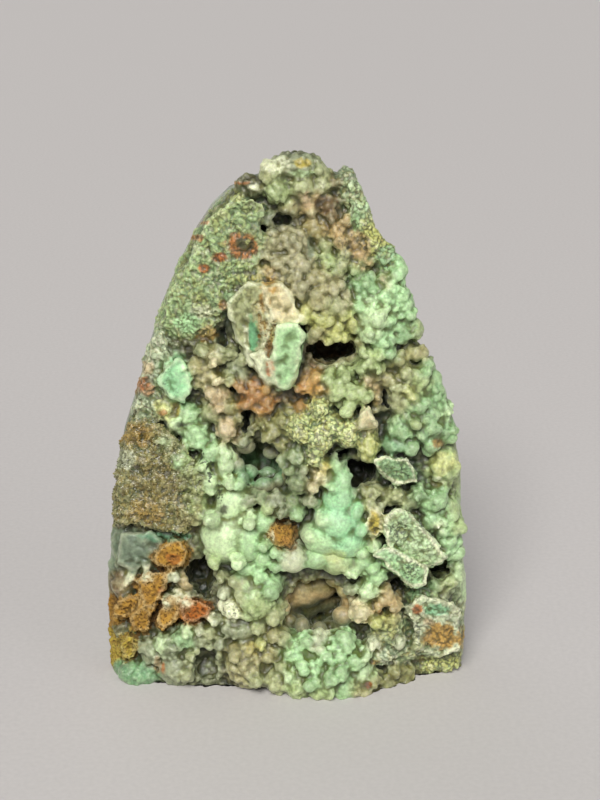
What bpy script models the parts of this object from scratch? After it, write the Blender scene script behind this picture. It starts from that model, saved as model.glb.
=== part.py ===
"""Smithsonite specimen that stands on its sawn base.

The front is broken stone: older smithsonite and brown limonite in angular
pieces, grown over with green botryoidal smithsonite and open in several
hollows. The sides and the back are one sawn and polished face. Lengths are in
millimetres and become metres when a mesh is made. +X is to the viewer's right,
-Y is towards the viewer and +Z is up.
"""
import math
import random
from collections import namedtuple

import bmesh
import bpy
from mathutils import Matrix, Vector

MM = 0.001

# Driving dimensions
HEIGHT = 202.0
HALF_WIDTH = 66.0
FACE_AT_BASE = -30.0
FACE_AT_TOP = -9.0
FACE_SIDE_ROUNDING = 6.0
RIM_AT_BASE = -4.0
RIM_AT_TOP = 8.0
BACK_AT_BASE = 36.0
BACK_AT_TOP = 17.0
CRUST_GAP = 0.5

# The body lies this far behind the mean broken face, so lumps stand on it
BODY_SETBACK = 7.0
FRONT_SQUARENESS = 4.5
BACK_SQUARENESS = 2.5
SECTION_POINTS = 64

# The back rounds over to the crown from this seen height, over this rise
CROWN_START = 176.0
CROWN_RISE = 23.0

# A lump reaches back by this share of the way from its front to the body
LUMP_ROOT = 0.7

# Fineness of the joined stone
VOXEL = 1.1
ROCK_TRIANGLES = 6250
CRUST_TRIANGLES = 860
HOLLOW_FINENESS = 3
CRUST_FINENESS = 4

# The face is laid out as it is seen from this point. Across and up are read on
# an upright plane, and each feature then slides along its own line of sight to
# its depth, so that what is nearer hides what is behind it.
EYE = Vector((4.7, -635.8, 336.2))
LAYOUT_DEPTH = -25.0

# The sawn body: seen height, left edge and right edge
BODY_STATIONS = (
    (0.0, -62.5, 63.5),
    (10.0, -64.5, 65.2),
    (18.0, -66.0, 66.2),
    (32.0, -66.7, 66.3),
    (48.0, -66.0, 65.8),
    (60.0, -64.6, 64.2),
    (75.0, -63.1, 63.2),
    (90.0, -61.2, 62.6),
    (105.0, -58.4, 59.5),
    (120.0, -53.4, 52.0),
    (135.0, -49.0, 44.5),
    (150.0, -44.3, 41.5),
    (165.0, -37.8, 37.5),
    (178.0, -31.3, 30.5),
    (186.0, -26.0, 28.3),
    (192.0, -20.0, 25.5),
    (196.0, -12.0, 22.5),
    (198.5, -3.0, 12.0),
)

# Rounded lumps: across, up, stand-out from the mean face, half width, half height
LUMPS = {
    "crown": (
        (3.5, 200.4, 3.0, 9.6, 5.6),
        (-4.5, 197.0, 3.5, 4.6, 5.2),
        (-2.5, 191.5, 4.0, 5.0, 5.0),
        (5.5, 193.0, 4.0, 4.8, 4.8),
        (12.0, 194.5, 2.0, 4.5, 5.0),
        (-12.5, 192.5, 0.5, 6.0, 4.6),
    ),
    "right_ridge": (
        (20.5, 195.0, 1.0, 3.6, 4.4),
        (22.5, 190.0, 1.0, 4.4, 5.0),
        (25.0, 184.5, 1.0, 4.0, 5.0),
        (27.0, 178.5, 1.0, 4.0, 5.0),
        (30.0, 172.5, 1.0, 4.5, 5.0),
        (34.0, 168.0, 1.0, 4.4, 4.6),
    ),
    "tan_growth": (
        (1.5, 186.0, 0.5, 4.5, 4.2),
        (8.0, 187.0, 1.0, 4.0, 4.5),
        (14.0, 186.0, 0.0, 4.5, 4.5),
        (10.0, 177.5, 0.0, 5.0, 4.8),
        (17.0, 178.0, 0.5, 4.5, 4.5),
        (23.0, 174.0, 0.0, 5.0, 5.0),
        (26.5, 167.5, 0.5, 5.5, 4.5),
        (20.0, 169.0, 1.0, 4.0, 5.0),
        (13.0, 168.0, 1.0, 4.0, 4.0),
        (-7.0, 180.5, -0.5, 5.0, 4.2),
    ),
    "grape_cluster": (
        (-4.5, 173.0, 2.0, 5.4, 5.0),
        (2.0, 173.5, 3.0, 5.4, 5.0),
        (-2.0, 166.0, 3.0, 5.0, 4.8),
        (4.5, 165.0, 5.0, 5.0, 5.0),
        (-0.5, 159.5, 5.0, 5.4, 5.0),
        (5.5, 157.5, 7.0, 5.4, 5.2),
        (11.0, 161.0, 6.0, 4.6, 4.6),
        (16.0, 157.0, 6.5, 5.0, 4.8),
        (11.0, 153.5, 8.0, 5.0, 4.6),
        (16.5, 151.0, 8.0, 5.0, 5.0),
        (7.5, 148.5, 7.0, 4.6, 4.4),
        (13.0, 146.5, 8.0, 4.8, 4.4),
        (19.5, 148.0, 7.0, 4.8, 4.6),
        (11.0, 142.0, 6.0, 4.4, 4.0),
        (17.5, 141.5, 6.0, 4.6, 4.0),
        (23.0, 144.0, 5.0, 4.0, 4.0),
    ),
    "mint_balls": (
        (26.5, 157.0, 3.0, 6.4, 6.0),
        (35.0, 158.5, 1.5, 4.5, 4.5),
        (39.0, 162.5, 1.0, 3.6, 5.4),
        (30.5, 147.0, 7.0, 7.0, 6.8),
        (38.5, 152.0, 3.0, 5.0, 6.0),
        (42.0, 147.5, 1.0, 3.4, 6.0),
        (33.5, 138.5, 5.0, 5.5, 6.5),
        (41.0, 140.5, 2.5, 5.0, 4.0),
        (29.0, 141.0, 7.0, 5.0, 3.8),
        (45.6, 141.0, 1.0, 3.0, 3.6),
    ),
    "middle_sage": (
        (29.5, 130.5, 5.0, 4.6, 5.0),
        (17.0, 128.5, -2.0, 5.5, 4.0),
        (18.5, 119.5, 5.0, 5.5, 6.5),
        (24.5, 117.5, 6.0, 4.8, 5.5),
        (38.0, 130.0, 1.0, 6.4, 4.0),
        (46.0, 131.5, 0.0, 5.4, 3.2),
        (36.0, 122.5, 1.5, 4.0, 3.6),
        (30.5, 120.0, 1.5, 3.6, 4.0),
        (39.5, 114.5, 2.5, 4.0, 6.5),
        (32.0, 112.5, 0.0, 3.5, 3.5),
        (11.5, 125.0, -4.0, 4.5, 4.5),
    ),
    "right_mint_mass": (
        (46.0, 122.0, 2.0, 6.0, 5.5),
        (51.5, 120.5, 0.0, 4.4, 5.5),
        (45.5, 113.0, 3.0, 6.0, 6.5),
        (53.5, 112.0, 0.0, 5.0, 6.0),
        (41.5, 104.5, 3.0, 6.0, 6.0),
        (50.0, 103.5, 2.5, 7.0, 6.0),
        (57.0, 103.0, 0.5, 4.6, 6.0),
        (38.5, 97.5, 2.0, 4.5, 4.5),
        (56.5, 89.5, 0.5, 6.0, 9.0),
    ),
    "cauliflower": (
        (12.0, 112.0, 6.0, 4.6, 4.8),
        (5.0, 104.5, 7.0, 6.0, 6.5),
        (11.5, 100.5, 7.5, 6.0, 7.0),
        (16.0, 106.0, 6.0, 4.5, 4.5),
        (22.0, 103.0, 7.0, 5.8, 7.0),
        (10.5, 93.5, 6.0, 3.5, 4.0),
        (29.0, 97.0, 5.0, 4.2, 7.0),
    ),
    "orange_growth": (
        (-12.0, 117.5, 3.0, 6.0, 6.2),
        (-10.0, 122.5, 2.0, 4.0, 3.0),
        (-7.5, 114.0, 3.0, 4.6, 4.4),
        (-1.5, 115.5, -1.0, 4.0, 4.5),
        (0.5, 110.0, 0.5, 4.0, 3.5),
        (8.0, 121.5, 1.5, 5.0, 4.2),
        (11.0, 117.5, 1.0, 3.5, 3.5),
    ),
    "left_olive": (
        (-4.5, 104.0, 1.5, 5.0, 4.8),
        (-9.0, 107.0, 0.5, 4.0, 3.4),
        (-1.5, 98.5, 1.0, 4.0, 4.0),
        (-20.5, 112.5, 2.0, 4.6, 4.0),
        (-21.5, 103.5, 3.0, 4.0, 5.5),
        (-27.0, 109.5, 1.0, 4.5, 4.0),
        (-24.5, 117.0, 2.0, 3.6, 5.5),
        (-29.5, 124.0, 1.0, 5.5, 7.0),
        (-24.0, 132.5, 1.5, 5.0, 4.5),
        (-17.5, 127.5, 0.5, 4.4, 4.0),
        (-35.5, 109.0, 1.5, 4.6, 4.4),
        (-43.5, 110.5, 1.0, 4.4, 4.0),
    ),
    "pale_columns": (
        (3.0, 93.5, 4.0, 4.2, 4.2),
        (4.0, 83.5, 4.0, 4.4, 5.0),
        (-10.0, 77.5, 2.0, 3.8, 3.6),
        (-4.5, 76.0, 2.5, 3.8, 3.6),
        (1.5, 75.5, 2.5, 3.6, 3.6),
        (12.5, 86.0, 3.0, 4.2, 6.0),
    ),
    "central_mint": (
        (18.5, 90.5, 4.5, 3.0, 4.5),
        (20.0, 83.5, 5.0, 4.0, 6.0),
        (19.0, 76.0, 6.0, 6.0, 6.5),
        (18.5, 68.0, 7.5, 9.2, 8.5),
        (22.0, 60.0, 7.0, 8.4, 8.0),
        (14.0, 60.5, 6.0, 8.0, 8.0),
        (18.5, 51.5, 5.0, 7.5, 5.6),
        (11.0, 52.5, 5.0, 5.5, 5.0),
        (2.0, 52.5, 5.0, 6.2, 6.2),
        (-2.0, 61.5, 4.0, 4.6, 4.0),
        (27.5, 51.5, 4.0, 4.5, 5.0),
    ),
    "left_ridge": (
        (-33.0, 101.0, 3.0, 5.5, 5.5),
        (-27.0, 94.5, 3.0, 5.0, 5.0),
        (-22.8, 90.5, 4.0, 3.4, 8.0),
        (-28.0, 84.0, 2.5, 5.4, 6.5),
        (-39.0, 105.5, 1.0, 5.0, 4.0),
        (-33.0, 74.0, 1.5, 4.5, 9.0),
    ),
    "lower_left_mint": (
        (-20.0, 74.0, 3.0, 7.5, 9.0),
        (-23.0, 61.0, 4.0, 9.5, 11.0),
        (-14.0, 60.0, 4.0, 6.5, 10.0),
        (-9.0, 67.5, 3.0, 5.0, 5.0),
        (-9.0, 52.0, 2.0, 4.4, 5.0),
        (-15.0, 48.5, 2.0, 5.0, 4.0),
    ),
    "spiky_mint": (
        (-12.0, 34.5, 5.0, 8.5, 8.6),
        (-17.0, 41.0, 3.0, 5.4, 5.0),
        (-6.5, 40.5, 4.0, 5.0, 5.0),
        (-21.0, 32.0, 3.0, 4.5, 4.5),
        (-5.5, 29.5, 3.5, 4.6, 5.0),
        (-18.0, 23.0, 3.0, 8.0, 4.6),
        (-15.0, 9.0, 5.0, 8.4, 10.0),
        (-7.0, 14.0, 4.0, 4.4, 5.4),
    ),
    "left_foot": (
        (-44.0, 15.5, 1.0, 6.4, 5.5),
        (-51.0, 13.0, 0.0, 5.0, 5.4),
        (-39.0, 19.0, 1.5, 5.0, 4.0),
        (-42.0, 6.0, 1.0, 7.0, 7.0),
        (-56.0, 4.0, 0.0, 8.5, 6.0),
        (-28.0, 12.0, 1.5, 4.2, 4.8),
        (-33.0, 18.5, 0.5, 3.6, 3.6),
        (-61.0, 40.0, 0.0, 5.0, 5.0),
        (-37.0, 43.0, 1.0, 3.8, 3.8),
    ),
    "middle_foot": (
        (3.0, 14.0, 6.0, 6.4, 6.4),
        (11.5, 18.0, 4.5, 4.6, 4.4),
        (18.0, 13.0, 6.5, 6.4, 6.4),
        (10.0, 9.0, 7.0, 5.5, 6.0),
        (25.0, 11.0, 6.0, 5.5, 6.0),
        (28.0, 6.0, 5.5, 5.0, 5.0),
        (4.0, 1.5, 8.5, 7.0, 8.0),
        (13.0, 0.0, 9.5, 7.0, 8.0),
        (-4.0, 2.0, 6.0, 5.5, 6.0),
        (21.5, 0.0, 9.0, 6.0, 7.0),
        (29.0, -1.5, 7.0, 5.0, 6.0),
        (37.0, 0.0, 3.0, 5.4, 6.0),
        (43.5, 3.0, 0.0, 4.5, 6.0),
    ),
    "beside_lower_hollow": (
        (30.0, 40.0, 5.0, 4.6, 4.4),
        (27.5, 31.0, 5.0, 4.6, 5.2),
        (37.0, 36.5, 2.5, 4.2, 3.8),
        (32.5, 46.0, 4.0, 5.0, 4.0),
    ),
    "right_foot": (
        (53.5, 23.5, 0.5, 12.5, 13.0),
        (37.5, 23.0, 2.0, 7.4, 8.5),
        (44.0, 14.5, 1.0, 6.5, 6.0),
        (36.0, 13.0, 3.0, 5.5, 5.0),
        (57.0, 9.5, -1.5, 8.5, 4.6),
        (49.0, 36.5, 1.0, 4.5, 4.0),
    ),
    "right_green": (
        (59.0, 59.0, 0.0, 5.6, 8.5),
        (54.0, 67.0, 1.0, 5.5, 5.0),
        (60.5, 70.5, -0.5, 4.0, 6.0),
        (52.0, 75.5, 2.0, 5.6, 4.6),
        (43.5, 75.5, 2.5, 5.0, 4.2),
        (37.0, 77.0, 2.5, 4.0, 3.8),
        (63.0, 46.0, -3.0, 3.2, 9.0),
        (57.5, 39.0, -2.0, 3.4, 3.4),
    ),
}

# Angular pieces, each a prism with a flat broken face that may slope: the face
# comes forward by so many mm for each mm across and up
Fragment = namedtuple("Fragment", "stand_out thickness slope_across slope_up outline")

FRAGMENTS = {
    "upper_left_plate": Fragment(1.0, 12.0, 0.06, 0.0, (
        (-8, 186), (-17, 190), (-27, 181), (-35, 166), (-41, 154), (-46, 141),
        (-34, 138), (-25, 142), (-20, 152), (-11, 163), (-8, 171),
    )),
    "projecting_left_facet": Fragment(6.5, 14.0, 0.35, 0.0, (
        (-21, 151), (-14, 158), (-8, 158), (-6, 142), (-8, 127), (-13, 127), (-19, 138),
    )),
    "projecting_cream_facet": Fragment(9.0, 16.0, -0.25, -0.15, (
        (-8, 157), (-1.5, 158), (2, 153), (5.5, 145), (3, 141), (-5, 142), (-7, 149),
    )),
    "projecting_mint_facet": Fragment(9.0, 16.0, -0.1, 0.1, (
        (-4.5, 142), (4.5, 143), (6.5, 138), (4, 130), (4, 124), (1, 119), (-3.5, 117.5), (-5.5, 123),
    )),
    "projecting_lower_rim": Fragment(8.0, 14.0, 0.2, 0.0, (
        (-14, 131), (-9, 133), (-6, 128), (-3.5, 119), (-7, 119),
    )),
    "mint_crystal": Fragment(3.0, 10.0, 0.0, 0.05, (
        (-40, 130), (-37.5, 129.5), (-35, 123), (-34.5, 118), (-37, 113.5), (-41.5, 114),
        (-45.5, 118.5), (-46.5, 122), (-44, 126.5),
    )),
    "left_margin": Fragment(0.0, 9.0, 0.08, 0.0, (
        (-47, 140), (-44, 141), (-42, 130), (-44, 116), (-40, 107), (-49, 105), (-56, 107), (-52.5, 120),
    )),
    "druse_patch": Fragment(2.0, 11.0, 0.08, 0.0, (
        (-56, 107), (-47, 105), (-37, 96), (-31, 84), (-31.5, 71), (-38, 62), (-46, 62.5), (-61, 66),
        (-62, 80), (-60, 92),
    )),
    "window": Fragment(-2.0, 9.0, 0.05, 0.0, (
        (-62, 62), (-50, 62), (-46, 58), (-50, 50), (-57, 46), (-64, 48),
    )),
    "limonite_top": Fragment(2.5, 10.0, 0.1, 0.1, (
        (-50, 52), (-47, 56), (-42, 59), (-39.5, 59), (-36.5, 53), (-38, 49), (-43, 46.5), (-49, 48.5),
    )),
    "limonite_middle": Fragment(2.0, 10.0, 0.05, -0.1, (
        (-57, 42), (-52, 45.5), (-45, 46), (-46, 39), (-50.5, 30), (-54, 31.5),
    )),
    "limonite_left": Fragment(1.0, 9.0, 0.1, 0.0, (
        (-65, 30), (-63, 34), (-59, 36), (-55, 35), (-54.5, 32.5), (-60.5, 27.5), (-64, 26),
    )),
    "limonite_lower": Fragment(1.8, 9.0, 0.0, 0.1, (
        (-59.7, 26.5), (-55, 31.3), (-51.3, 29), (-51.5, 24), (-53.5, 20), (-58, 21.5),
    )),
    "limonite_right": Fragment(2.4, 9.0, 0.1, -0.1, (
        (-49, 29), (-45.5, 34.5), (-41, 35), (-40.3, 30), (-42.5, 25), (-47, 22), (-49.3, 24),
    )),
    "limonite_orange": Fragment(2.6, 9.0, -0.1, 0.0, (
        (-39.7, 34), (-33, 34), (-28.5, 31), (-30, 27), (-35, 24.8), (-39.2, 25), (-40, 29),
    )),
    "limonite_foot": Fragment(0.5, 8.0, 0.1, 0.0, (
        (-64, 15.5), (-61, 20), (-57.5, 19), (-58, 10.5), (-61, 9),
    )),
    "speckled_lens": Fragment(6.0, 10.0, -0.1, 0.3, (
        (31, 90.5), (36, 92), (44, 91), (47.5, 86), (47.5, 82.5), (40, 81), (34, 85),
    )),
    "ochre_cube": Fragment(5.0, 10.0, 0.2, 0.1, (
        (30, 71.5), (35.5, 70), (35, 61), (31.5, 59), (29, 64),
    )),
    "speckled_block_upper": Fragment(7.0, 14.0, -0.05, 0.15, (
        (36, 66), (39, 71), (44, 71.5), (49, 65), (59.5, 51), (52, 47), (44, 51), (37, 55),
    )),
    "speckled_block_lower": Fragment(7.0, 12.0, -0.1, -0.1, (
        (36, 57), (44, 52), (52, 48), (51.5, 40), (45, 39.5), (36, 49), (31, 53),
    )),
    "cream_fragment": Fragment(7.5, 10.0, 0.0, 0.2, (
        (26, 108), (29, 112), (31.5, 107), (33, 103), (30, 102), (26, 103),
    )),
    "right_slab": Fragment(2.0, 10.0, -0.05, 0.1, (
        (44, 31), (50, 35.5), (58, 35), (64.5, 30), (65, 14), (58, 10), (50, 13), (47, 22),
    )),
}

# Holes that run back into the stone along the line of sight: across, up and
# depth of the middle, half width, half height and half length
Hollow = namedtuple("Hollow", "across up depth half_width half_height half_length")

LOWER_HOLLOW = Hollow(10.5, 33.5, -15.0, 12.6, 11.2, 17.0)
CENTRAL_HOLLOW = Hollow(-9.5, 90.5, -12.0, 10.0, 9.6, 13.0)
SMALL_HOLLOWS = {
    "black_cavity": Hollow(26.0, 87.0, -14.0, 6.6, 8.0, 13.0),
    "cave_under_grapes": Hollow(15.5, 133.5, -9.0, 10.5, 5.4, 12.0),
    "left_recess": Hollow(-32.0, 44.5, -18.0, 6.6, 8.5, 11.0),
    "right_cavity": Hollow(56.5, 44.0, -16.0, 4.2, 6.5, 9.0),
    "gap_right_of_knob_ball": Hollow(41.0, 41.0, -20.0, 4.2, 4.0, 9.0),
    "base_notch": Hollow(-31.0, 5.5, -25.0, 5.4, 7.0, 13.0),
    "hole_behind_grapes": Hollow(-2.0, 180.5, -8.0, 3.6, 2.0, 7.0),
    "hole_by_plate": Hollow(-9.0, 177.0, -9.0, 2.0, 2.2, 6.0),
    "slit_in_sage": Hollow(35.5, 113.0, -18.0, 1.8, 5.0, 8.0),
    "gap_left_of_projection": Hollow(-22.0, 138.0, -14.0, 2.2, 4.0, 7.0),
    "gap_below_orange": Hollow(-14.5, 107.0, -15.0, 2.6, 5.5, 8.0),
}

# A crust starts this far along its hollow, from -1 at the mouth to +1 at the end
CRUST_START = -0.42
CRUST_THICKNESS = (1.3, 4.6)


def sighted(across, up, depth):
    """Point at a depth on the line of sight through (across, up) on the layout plane."""
    reach = (depth - EYE.y) / (LAYOUT_DEPTH - EYE.y)
    return Vector((
        EYE.x + (across - EYE.x) * reach,
        depth,
        EYE.z + (up - EYE.z) * reach,
    ))


def between(at_base, at_top, height, power):
    """Value that changes from the base to the top, slowly at first."""
    share = min(max(height / HEIGHT, 0.0), 1.0)
    return at_base + (at_top - at_base) * share ** power


def face_depth(across, height):
    """Depth of the mean broken face, which leans back and falls away at the sides."""
    lean = between(FACE_AT_BASE, FACE_AT_TOP, height, 1.3)
    return lean + FACE_SIDE_ROUNDING * abs(across / HALF_WIDTH) ** 3


def body_section(up, left, right):
    """One level outline of the sawn body, counter-clockwise from above."""
    rim = between(RIM_AT_BASE, RIM_AT_TOP, up, 1.2)
    left_rim = sighted(left, up, rim)
    right_rim = sighted(right, up, rim)
    height = left_rim.z
    middle = (left_rim.x + right_rim.x) / 2
    half_width = (right_rim.x - left_rim.x) / 2
    over_crown = max(up - CROWN_START, 0.0) / CROWN_RISE
    back = rim + (between(BACK_AT_BASE, BACK_AT_TOP, height, 2.2) - rim) * math.sqrt(1 - over_crown ** 2)
    points = []
    for step in range(SECTION_POINTS):
        angle = 2 * math.pi * step / SECTION_POINTS
        run, rise = math.cos(angle), math.sin(angle)
        squareness = BACK_SQUARENESS if rise > 0 else FRONT_SQUARENESS
        share = math.copysign(abs(run) ** (2 / squareness), run)
        x = middle + half_width * share
        if rise > 0:
            limit = back
        else:
            limit = face_depth(x, height) + BODY_SETBACK * (1 - abs(share) ** 6)
        y = rim + (limit - rim) * abs(rise) ** (2 / squareness)
        points.append(Vector((x, y, height)))
    return points


def add_body(mesh):
    """Loft the sawn body through its level outlines and close both ends."""
    rings = []
    for station in BODY_STATIONS:
        rings.append([mesh.verts.new(point) for point in body_section(*station)])
    for lower, upper in zip(rings, rings[1:]):
        for here in range(SECTION_POINTS):
            after = (here + 1) % SECTION_POINTS
            mesh.faces.new((lower[here], lower[after], upper[after], upper[here]))
    mesh.faces.new(reversed(rings[0]))
    mesh.faces.new(rings[-1])


def add_lump(mesh, across, up, stand_out, half_width, half_height):
    """Add a rounded lump whose front stands out from the mean face and whose back is in the body."""
    half_depth = max((half_width + half_height) / 2, LUMP_ROOT * (stand_out + BODY_SETBACK))
    front = face_depth(across, up) - stand_out
    centre = sighted(across, up, front + half_depth)
    size = Matrix.Diagonal((half_width, half_depth, half_height, 1.0))
    bmesh.ops.create_icosphere(mesh, subdivisions=3, radius=1.0, matrix=Matrix.Translation(centre) @ size)


def add_fragment(mesh, fragment):
    """Add an angular piece: a flat face with a narrow chamfer, run back into the stone."""
    middle_across = sum(point[0] for point in fragment.outline) / len(fragment.outline)
    middle_up = sum(point[1] for point in fragment.outline) / len(fragment.outline)
    front = face_depth(middle_across, middle_up) - fragment.stand_out
    rings = ((0.93, 0.0), (1.0, 1.0), (0.9, fragment.thickness))
    corners = []
    for size, set_back in rings:
        for across, up in fragment.outline:
            off_across = (across - middle_across) * size
            off_up = (up - middle_up) * size
            slope = off_across * fragment.slope_across + off_up * fragment.slope_up
            depth = front + set_back - slope
            corners.append(mesh.verts.new(sighted(middle_across + off_across, middle_up + off_up, depth)))
    hull = bmesh.ops.convex_hull(mesh, input=corners)
    inner = [item for item in hull["geom_interior"] if isinstance(item, bmesh.types.BMVert)]
    bmesh.ops.delete(mesh, geom=inner, context="VERTS")


def hollow_place(hollow):
    """Middle of a hollow and the direction in which it runs back."""
    centre = sighted(hollow.across, hollow.up, hollow.depth)
    return centre, (centre - EYE).normalized()


def add_hollow(mesh, hollow, fineness=HOLLOW_FINENESS, shrink=0.0):
    """Add the rounded form of a hollow, lying along the line of sight."""
    centre, direction = hollow_place(hollow)
    turn = direction.to_track_quat("Y", "Z").to_matrix().to_4x4()
    size = Matrix.Diagonal((
        hollow.half_width - shrink,
        hollow.half_length - shrink,
        hollow.half_height - shrink,
        1.0,
    ))
    place = Matrix.Translation(centre) @ turn @ size
    bmesh.ops.create_icosphere(mesh, subdivisions=fineness, radius=1.0, matrix=place)


def cut_mouth_off(mesh, hollow, start):
    """Cut away the part of a hollow's form that is nearer than a share of its length."""
    centre, direction = hollow_place(hollow)
    bmesh.ops.bisect_plane(
        mesh,
        geom=mesh.verts[:] + mesh.edges[:] + mesh.faces[:],
        plane_co=centre + direction * hollow.half_length * start,
        plane_no=-direction,
        clear_outer=True,
    )


def crust_thickness(rng, count):
    """Return a function that gives a lumpy thickness for a direction in a hollow."""
    thinnest, thickest = CRUST_THICKNESS
    lumps = []
    for _ in range(count):
        centre = Vector((rng.uniform(-1, 1), rng.uniform(-0.6, 1), rng.uniform(-1, 1))).normalized()
        lumps.append((centre, rng.uniform(0.3, 0.5)))

    def thickness(direction):
        best = 0.0
        for centre, radius in lumps:
            off = direction.angle(centre) / radius
            if off < 1.0:
                best = max(best, math.sqrt(1.0 - off * off))
        return thinnest + (thickest - thinnest) * best

    return thickness


def add_crust(mesh, hollow, seed):
    """Add a closed lining: an outer skin along the hollow's wall and lumps inside it."""
    add_hollow(mesh, hollow, CRUST_FINENESS, CRUST_GAP)
    cut_mouth_off(mesh, hollow, CRUST_START + CRUST_GAP / hollow.half_length)
    centre, direction = hollow_place(hollow)
    thickness = crust_thickness(random.Random(seed), 26)
    outer_faces = mesh.faces[:]
    turn_back = direction.to_track_quat("Y", "Z").inverted()
    inner = {}
    for vert in mesh.verts[:]:
        spoke = (vert.co - centre).normalized()
        inner[vert] = mesh.verts.new(vert.co - spoke * thickness(turn_back @ spoke))
    rim = [edge for edge in mesh.edges if edge.is_boundary]
    for face in outer_faces:
        mesh.faces.new([inner[vert] for vert in reversed(face.verts)])
    for edge in rim:
        first, second = edge.verts
        mesh.faces.new((first, second, inner[second], inner[first]))
    bmesh.ops.recalc_face_normals(mesh, faces=mesh.faces[:])


def new_object(name, fill):
    """Make an object from a bmesh that a function fills in millimetres."""
    work = bmesh.new()
    fill(work)
    work.transform(Matrix.Scale(MM, 4))
    mesh = bpy.data.meshes.new(name)
    work.to_mesh(mesh)
    work.free()
    made = bpy.data.objects.new(name, mesh)
    bpy.context.scene.collection.objects.link(made)
    return made


def set_as_cutter(made):
    """Keep a cutter out of the model: it only shapes other objects."""
    made.hide_render = True
    made.display_type = "WIRE"


def apply_modifiers(made):
    """Replace an object's mesh with the result of its modifiers."""
    bpy.context.view_layer.update()
    graph = bpy.context.evaluated_depsgraph_get()
    mesh = bpy.data.meshes.new_from_object(made.evaluated_get(graph))
    made.modifiers.clear()
    made.data = mesh


def cut(made, cutter):
    """Take a cutter's form out of an object."""
    boolean = made.modifiers.new("cut", "BOOLEAN")
    boolean.operation = "DIFFERENCE"
    boolean.solver = "EXACT"
    boolean.object = cutter
    apply_modifiers(made)


def join_stone(made):
    """Join everything in an object into one skin."""
    remesh = made.modifiers.new("join", "REMESH")
    remesh.mode = "VOXEL"
    remesh.voxel_size = VOXEL * MM
    smooth = made.modifiers.new("soften", "SMOOTH")
    smooth.factor = 0.5
    smooth.iterations = 2
    apply_modifiers(made)


def thin_out(made, triangles):
    """Bring an object down to about so many triangles, most of them where it is rough."""
    made.modifiers.new("triangles", "TRIANGULATE")
    apply_modifiers(made)
    decimate = made.modifiers.new("thin", "DECIMATE")
    decimate.ratio = triangles / len(made.data.polygons)
    apply_modifiers(made)


def material(name, colour, roughness):
    """Principled material of one stone."""
    made = bpy.data.materials.new(name)
    made.use_nodes = True
    shader = made.node_tree.nodes["Principled BSDF"]
    shader.inputs["Base Color"].default_value = (*colour, 1.0)
    shader.inputs["Roughness"].default_value = roughness
    shader.inputs["Metallic"].default_value = 0.0
    return made


def fill_back(work):
    """The sawn body alone."""
    add_body(work)


def fill_growth(work):
    """Every lump and fragment of the broken face."""
    for lumps in LUMPS.values():
        for lump in lumps:
            add_lump(work, *lump)
    for fragment in FRAGMENTS.values():
        add_fragment(work, fragment)


def fill_hollows(work):
    """Every hollow, as one set of cutters."""
    for hollow in (LOWER_HOLLOW, CENTRAL_HOLLOW, *SMALL_HOLLOWS.values()):
        add_hollow(work, hollow)


def fill_saw_block(work):
    """Block below the floor that cuts the base flat."""
    block = Matrix.Translation((0, 0, -30)) @ Matrix.Diagonal((300, 300, 60, 1))
    bmesh.ops.create_cube(work, size=1.0, matrix=block)


def fill_pocket(hollow):
    """Return a filler for the deep part of a hollow, where its crust lies."""
    def fill(work):
        add_hollow(work, hollow)
        cut_mouth_off(work, hollow, CRUST_START)
        bmesh.ops.holes_fill(work, edges=[edge for edge in work.edges if edge.is_boundary])
        bmesh.ops.recalc_face_normals(work, faces=work.faces[:])
    return fill


def make_rock():
    """Model the stone: body, hollows, growth, pockets for the crusts and the sawn base."""
    rock = new_object("smithsonite_rock", fill_back)
    hollows = new_object("hollow_cutters", fill_hollows)
    set_as_cutter(hollows)
    cut(rock, hollows)
    growth = new_object("growth", fill_growth)
    both = bmesh.new()
    both.from_mesh(rock.data)
    both.from_mesh(growth.data)
    both.to_mesh(rock.data)
    both.free()
    bpy.data.objects.remove(growth)
    join_stone(rock)
    thin_out(rock, ROCK_TRIANGLES)
    for hollow in (LOWER_HOLLOW, CENTRAL_HOLLOW):
        pocket = new_object("pocket", fill_pocket(hollow))
        set_as_cutter(pocket)
        cut(rock, pocket)
        bpy.data.objects.remove(pocket)
    saw = new_object("saw_block", fill_saw_block)
    set_as_cutter(saw)
    cut(rock, saw)
    bpy.data.objects.remove(saw)
    bpy.data.objects.remove(hollows)
    return rock


def make_crust(name, hollow, seed):
    """Model the crystal lining of one hollow."""
    crust = new_object(name, lambda work: add_crust(work, hollow, seed))
    thin_out(crust, CRUST_TRIANGLES)
    return crust


def centre_on_base(rock, others):
    """Slide everything so that the rock's box stands centred on the origin."""
    corners = [vert.co for vert in rock.data.vertices]
    low = Vector([min(corner[axis] for corner in corners) for axis in range(3)])
    high = Vector([max(corner[axis] for corner in corners) for axis in range(3)])
    slide = Vector((-(low.x + high.x) / 2, -(low.y + high.y) / 2, -low.z))
    for made in (rock, *others):
        made.data.transform(Matrix.Translation(slide))


def main():
    """Build the specimen."""
    for old in list(bpy.data.objects):
        bpy.data.objects.remove(old)
    rock = make_rock()
    lower = make_crust("lower_hollow_crust", LOWER_HOLLOW, 5)
    central = make_crust("central_hollow_crust", CENTRAL_HOLLOW, 11)
    centre_on_base(rock, (lower, central))
    rock.data.materials.clear()
    rock.data.materials.append(material("botryoidal_smithsonite", (0.36, 0.46, 0.30), 0.45))
    lower.data.materials.append(material("brown_smithsonite_lining", (0.30, 0.24, 0.16), 0.4))
    central.data.materials.append(material("teal_smithsonite_lining", (0.16, 0.24, 0.17), 0.4))


main()
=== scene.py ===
"""Smithsonite specimen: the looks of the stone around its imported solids.

The stone is one sawn and polished body whose front is broken open. Green
botryoidal smithsonite grows over angular pieces of older smithsonite and brown
limonite, and lines the hollows. Sizes are in millimetres until a mesh is made.
+X is to the viewer's right, -Y is towards the viewer and +Z is up.
"""
import math
import random
from collections import namedtuple

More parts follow.
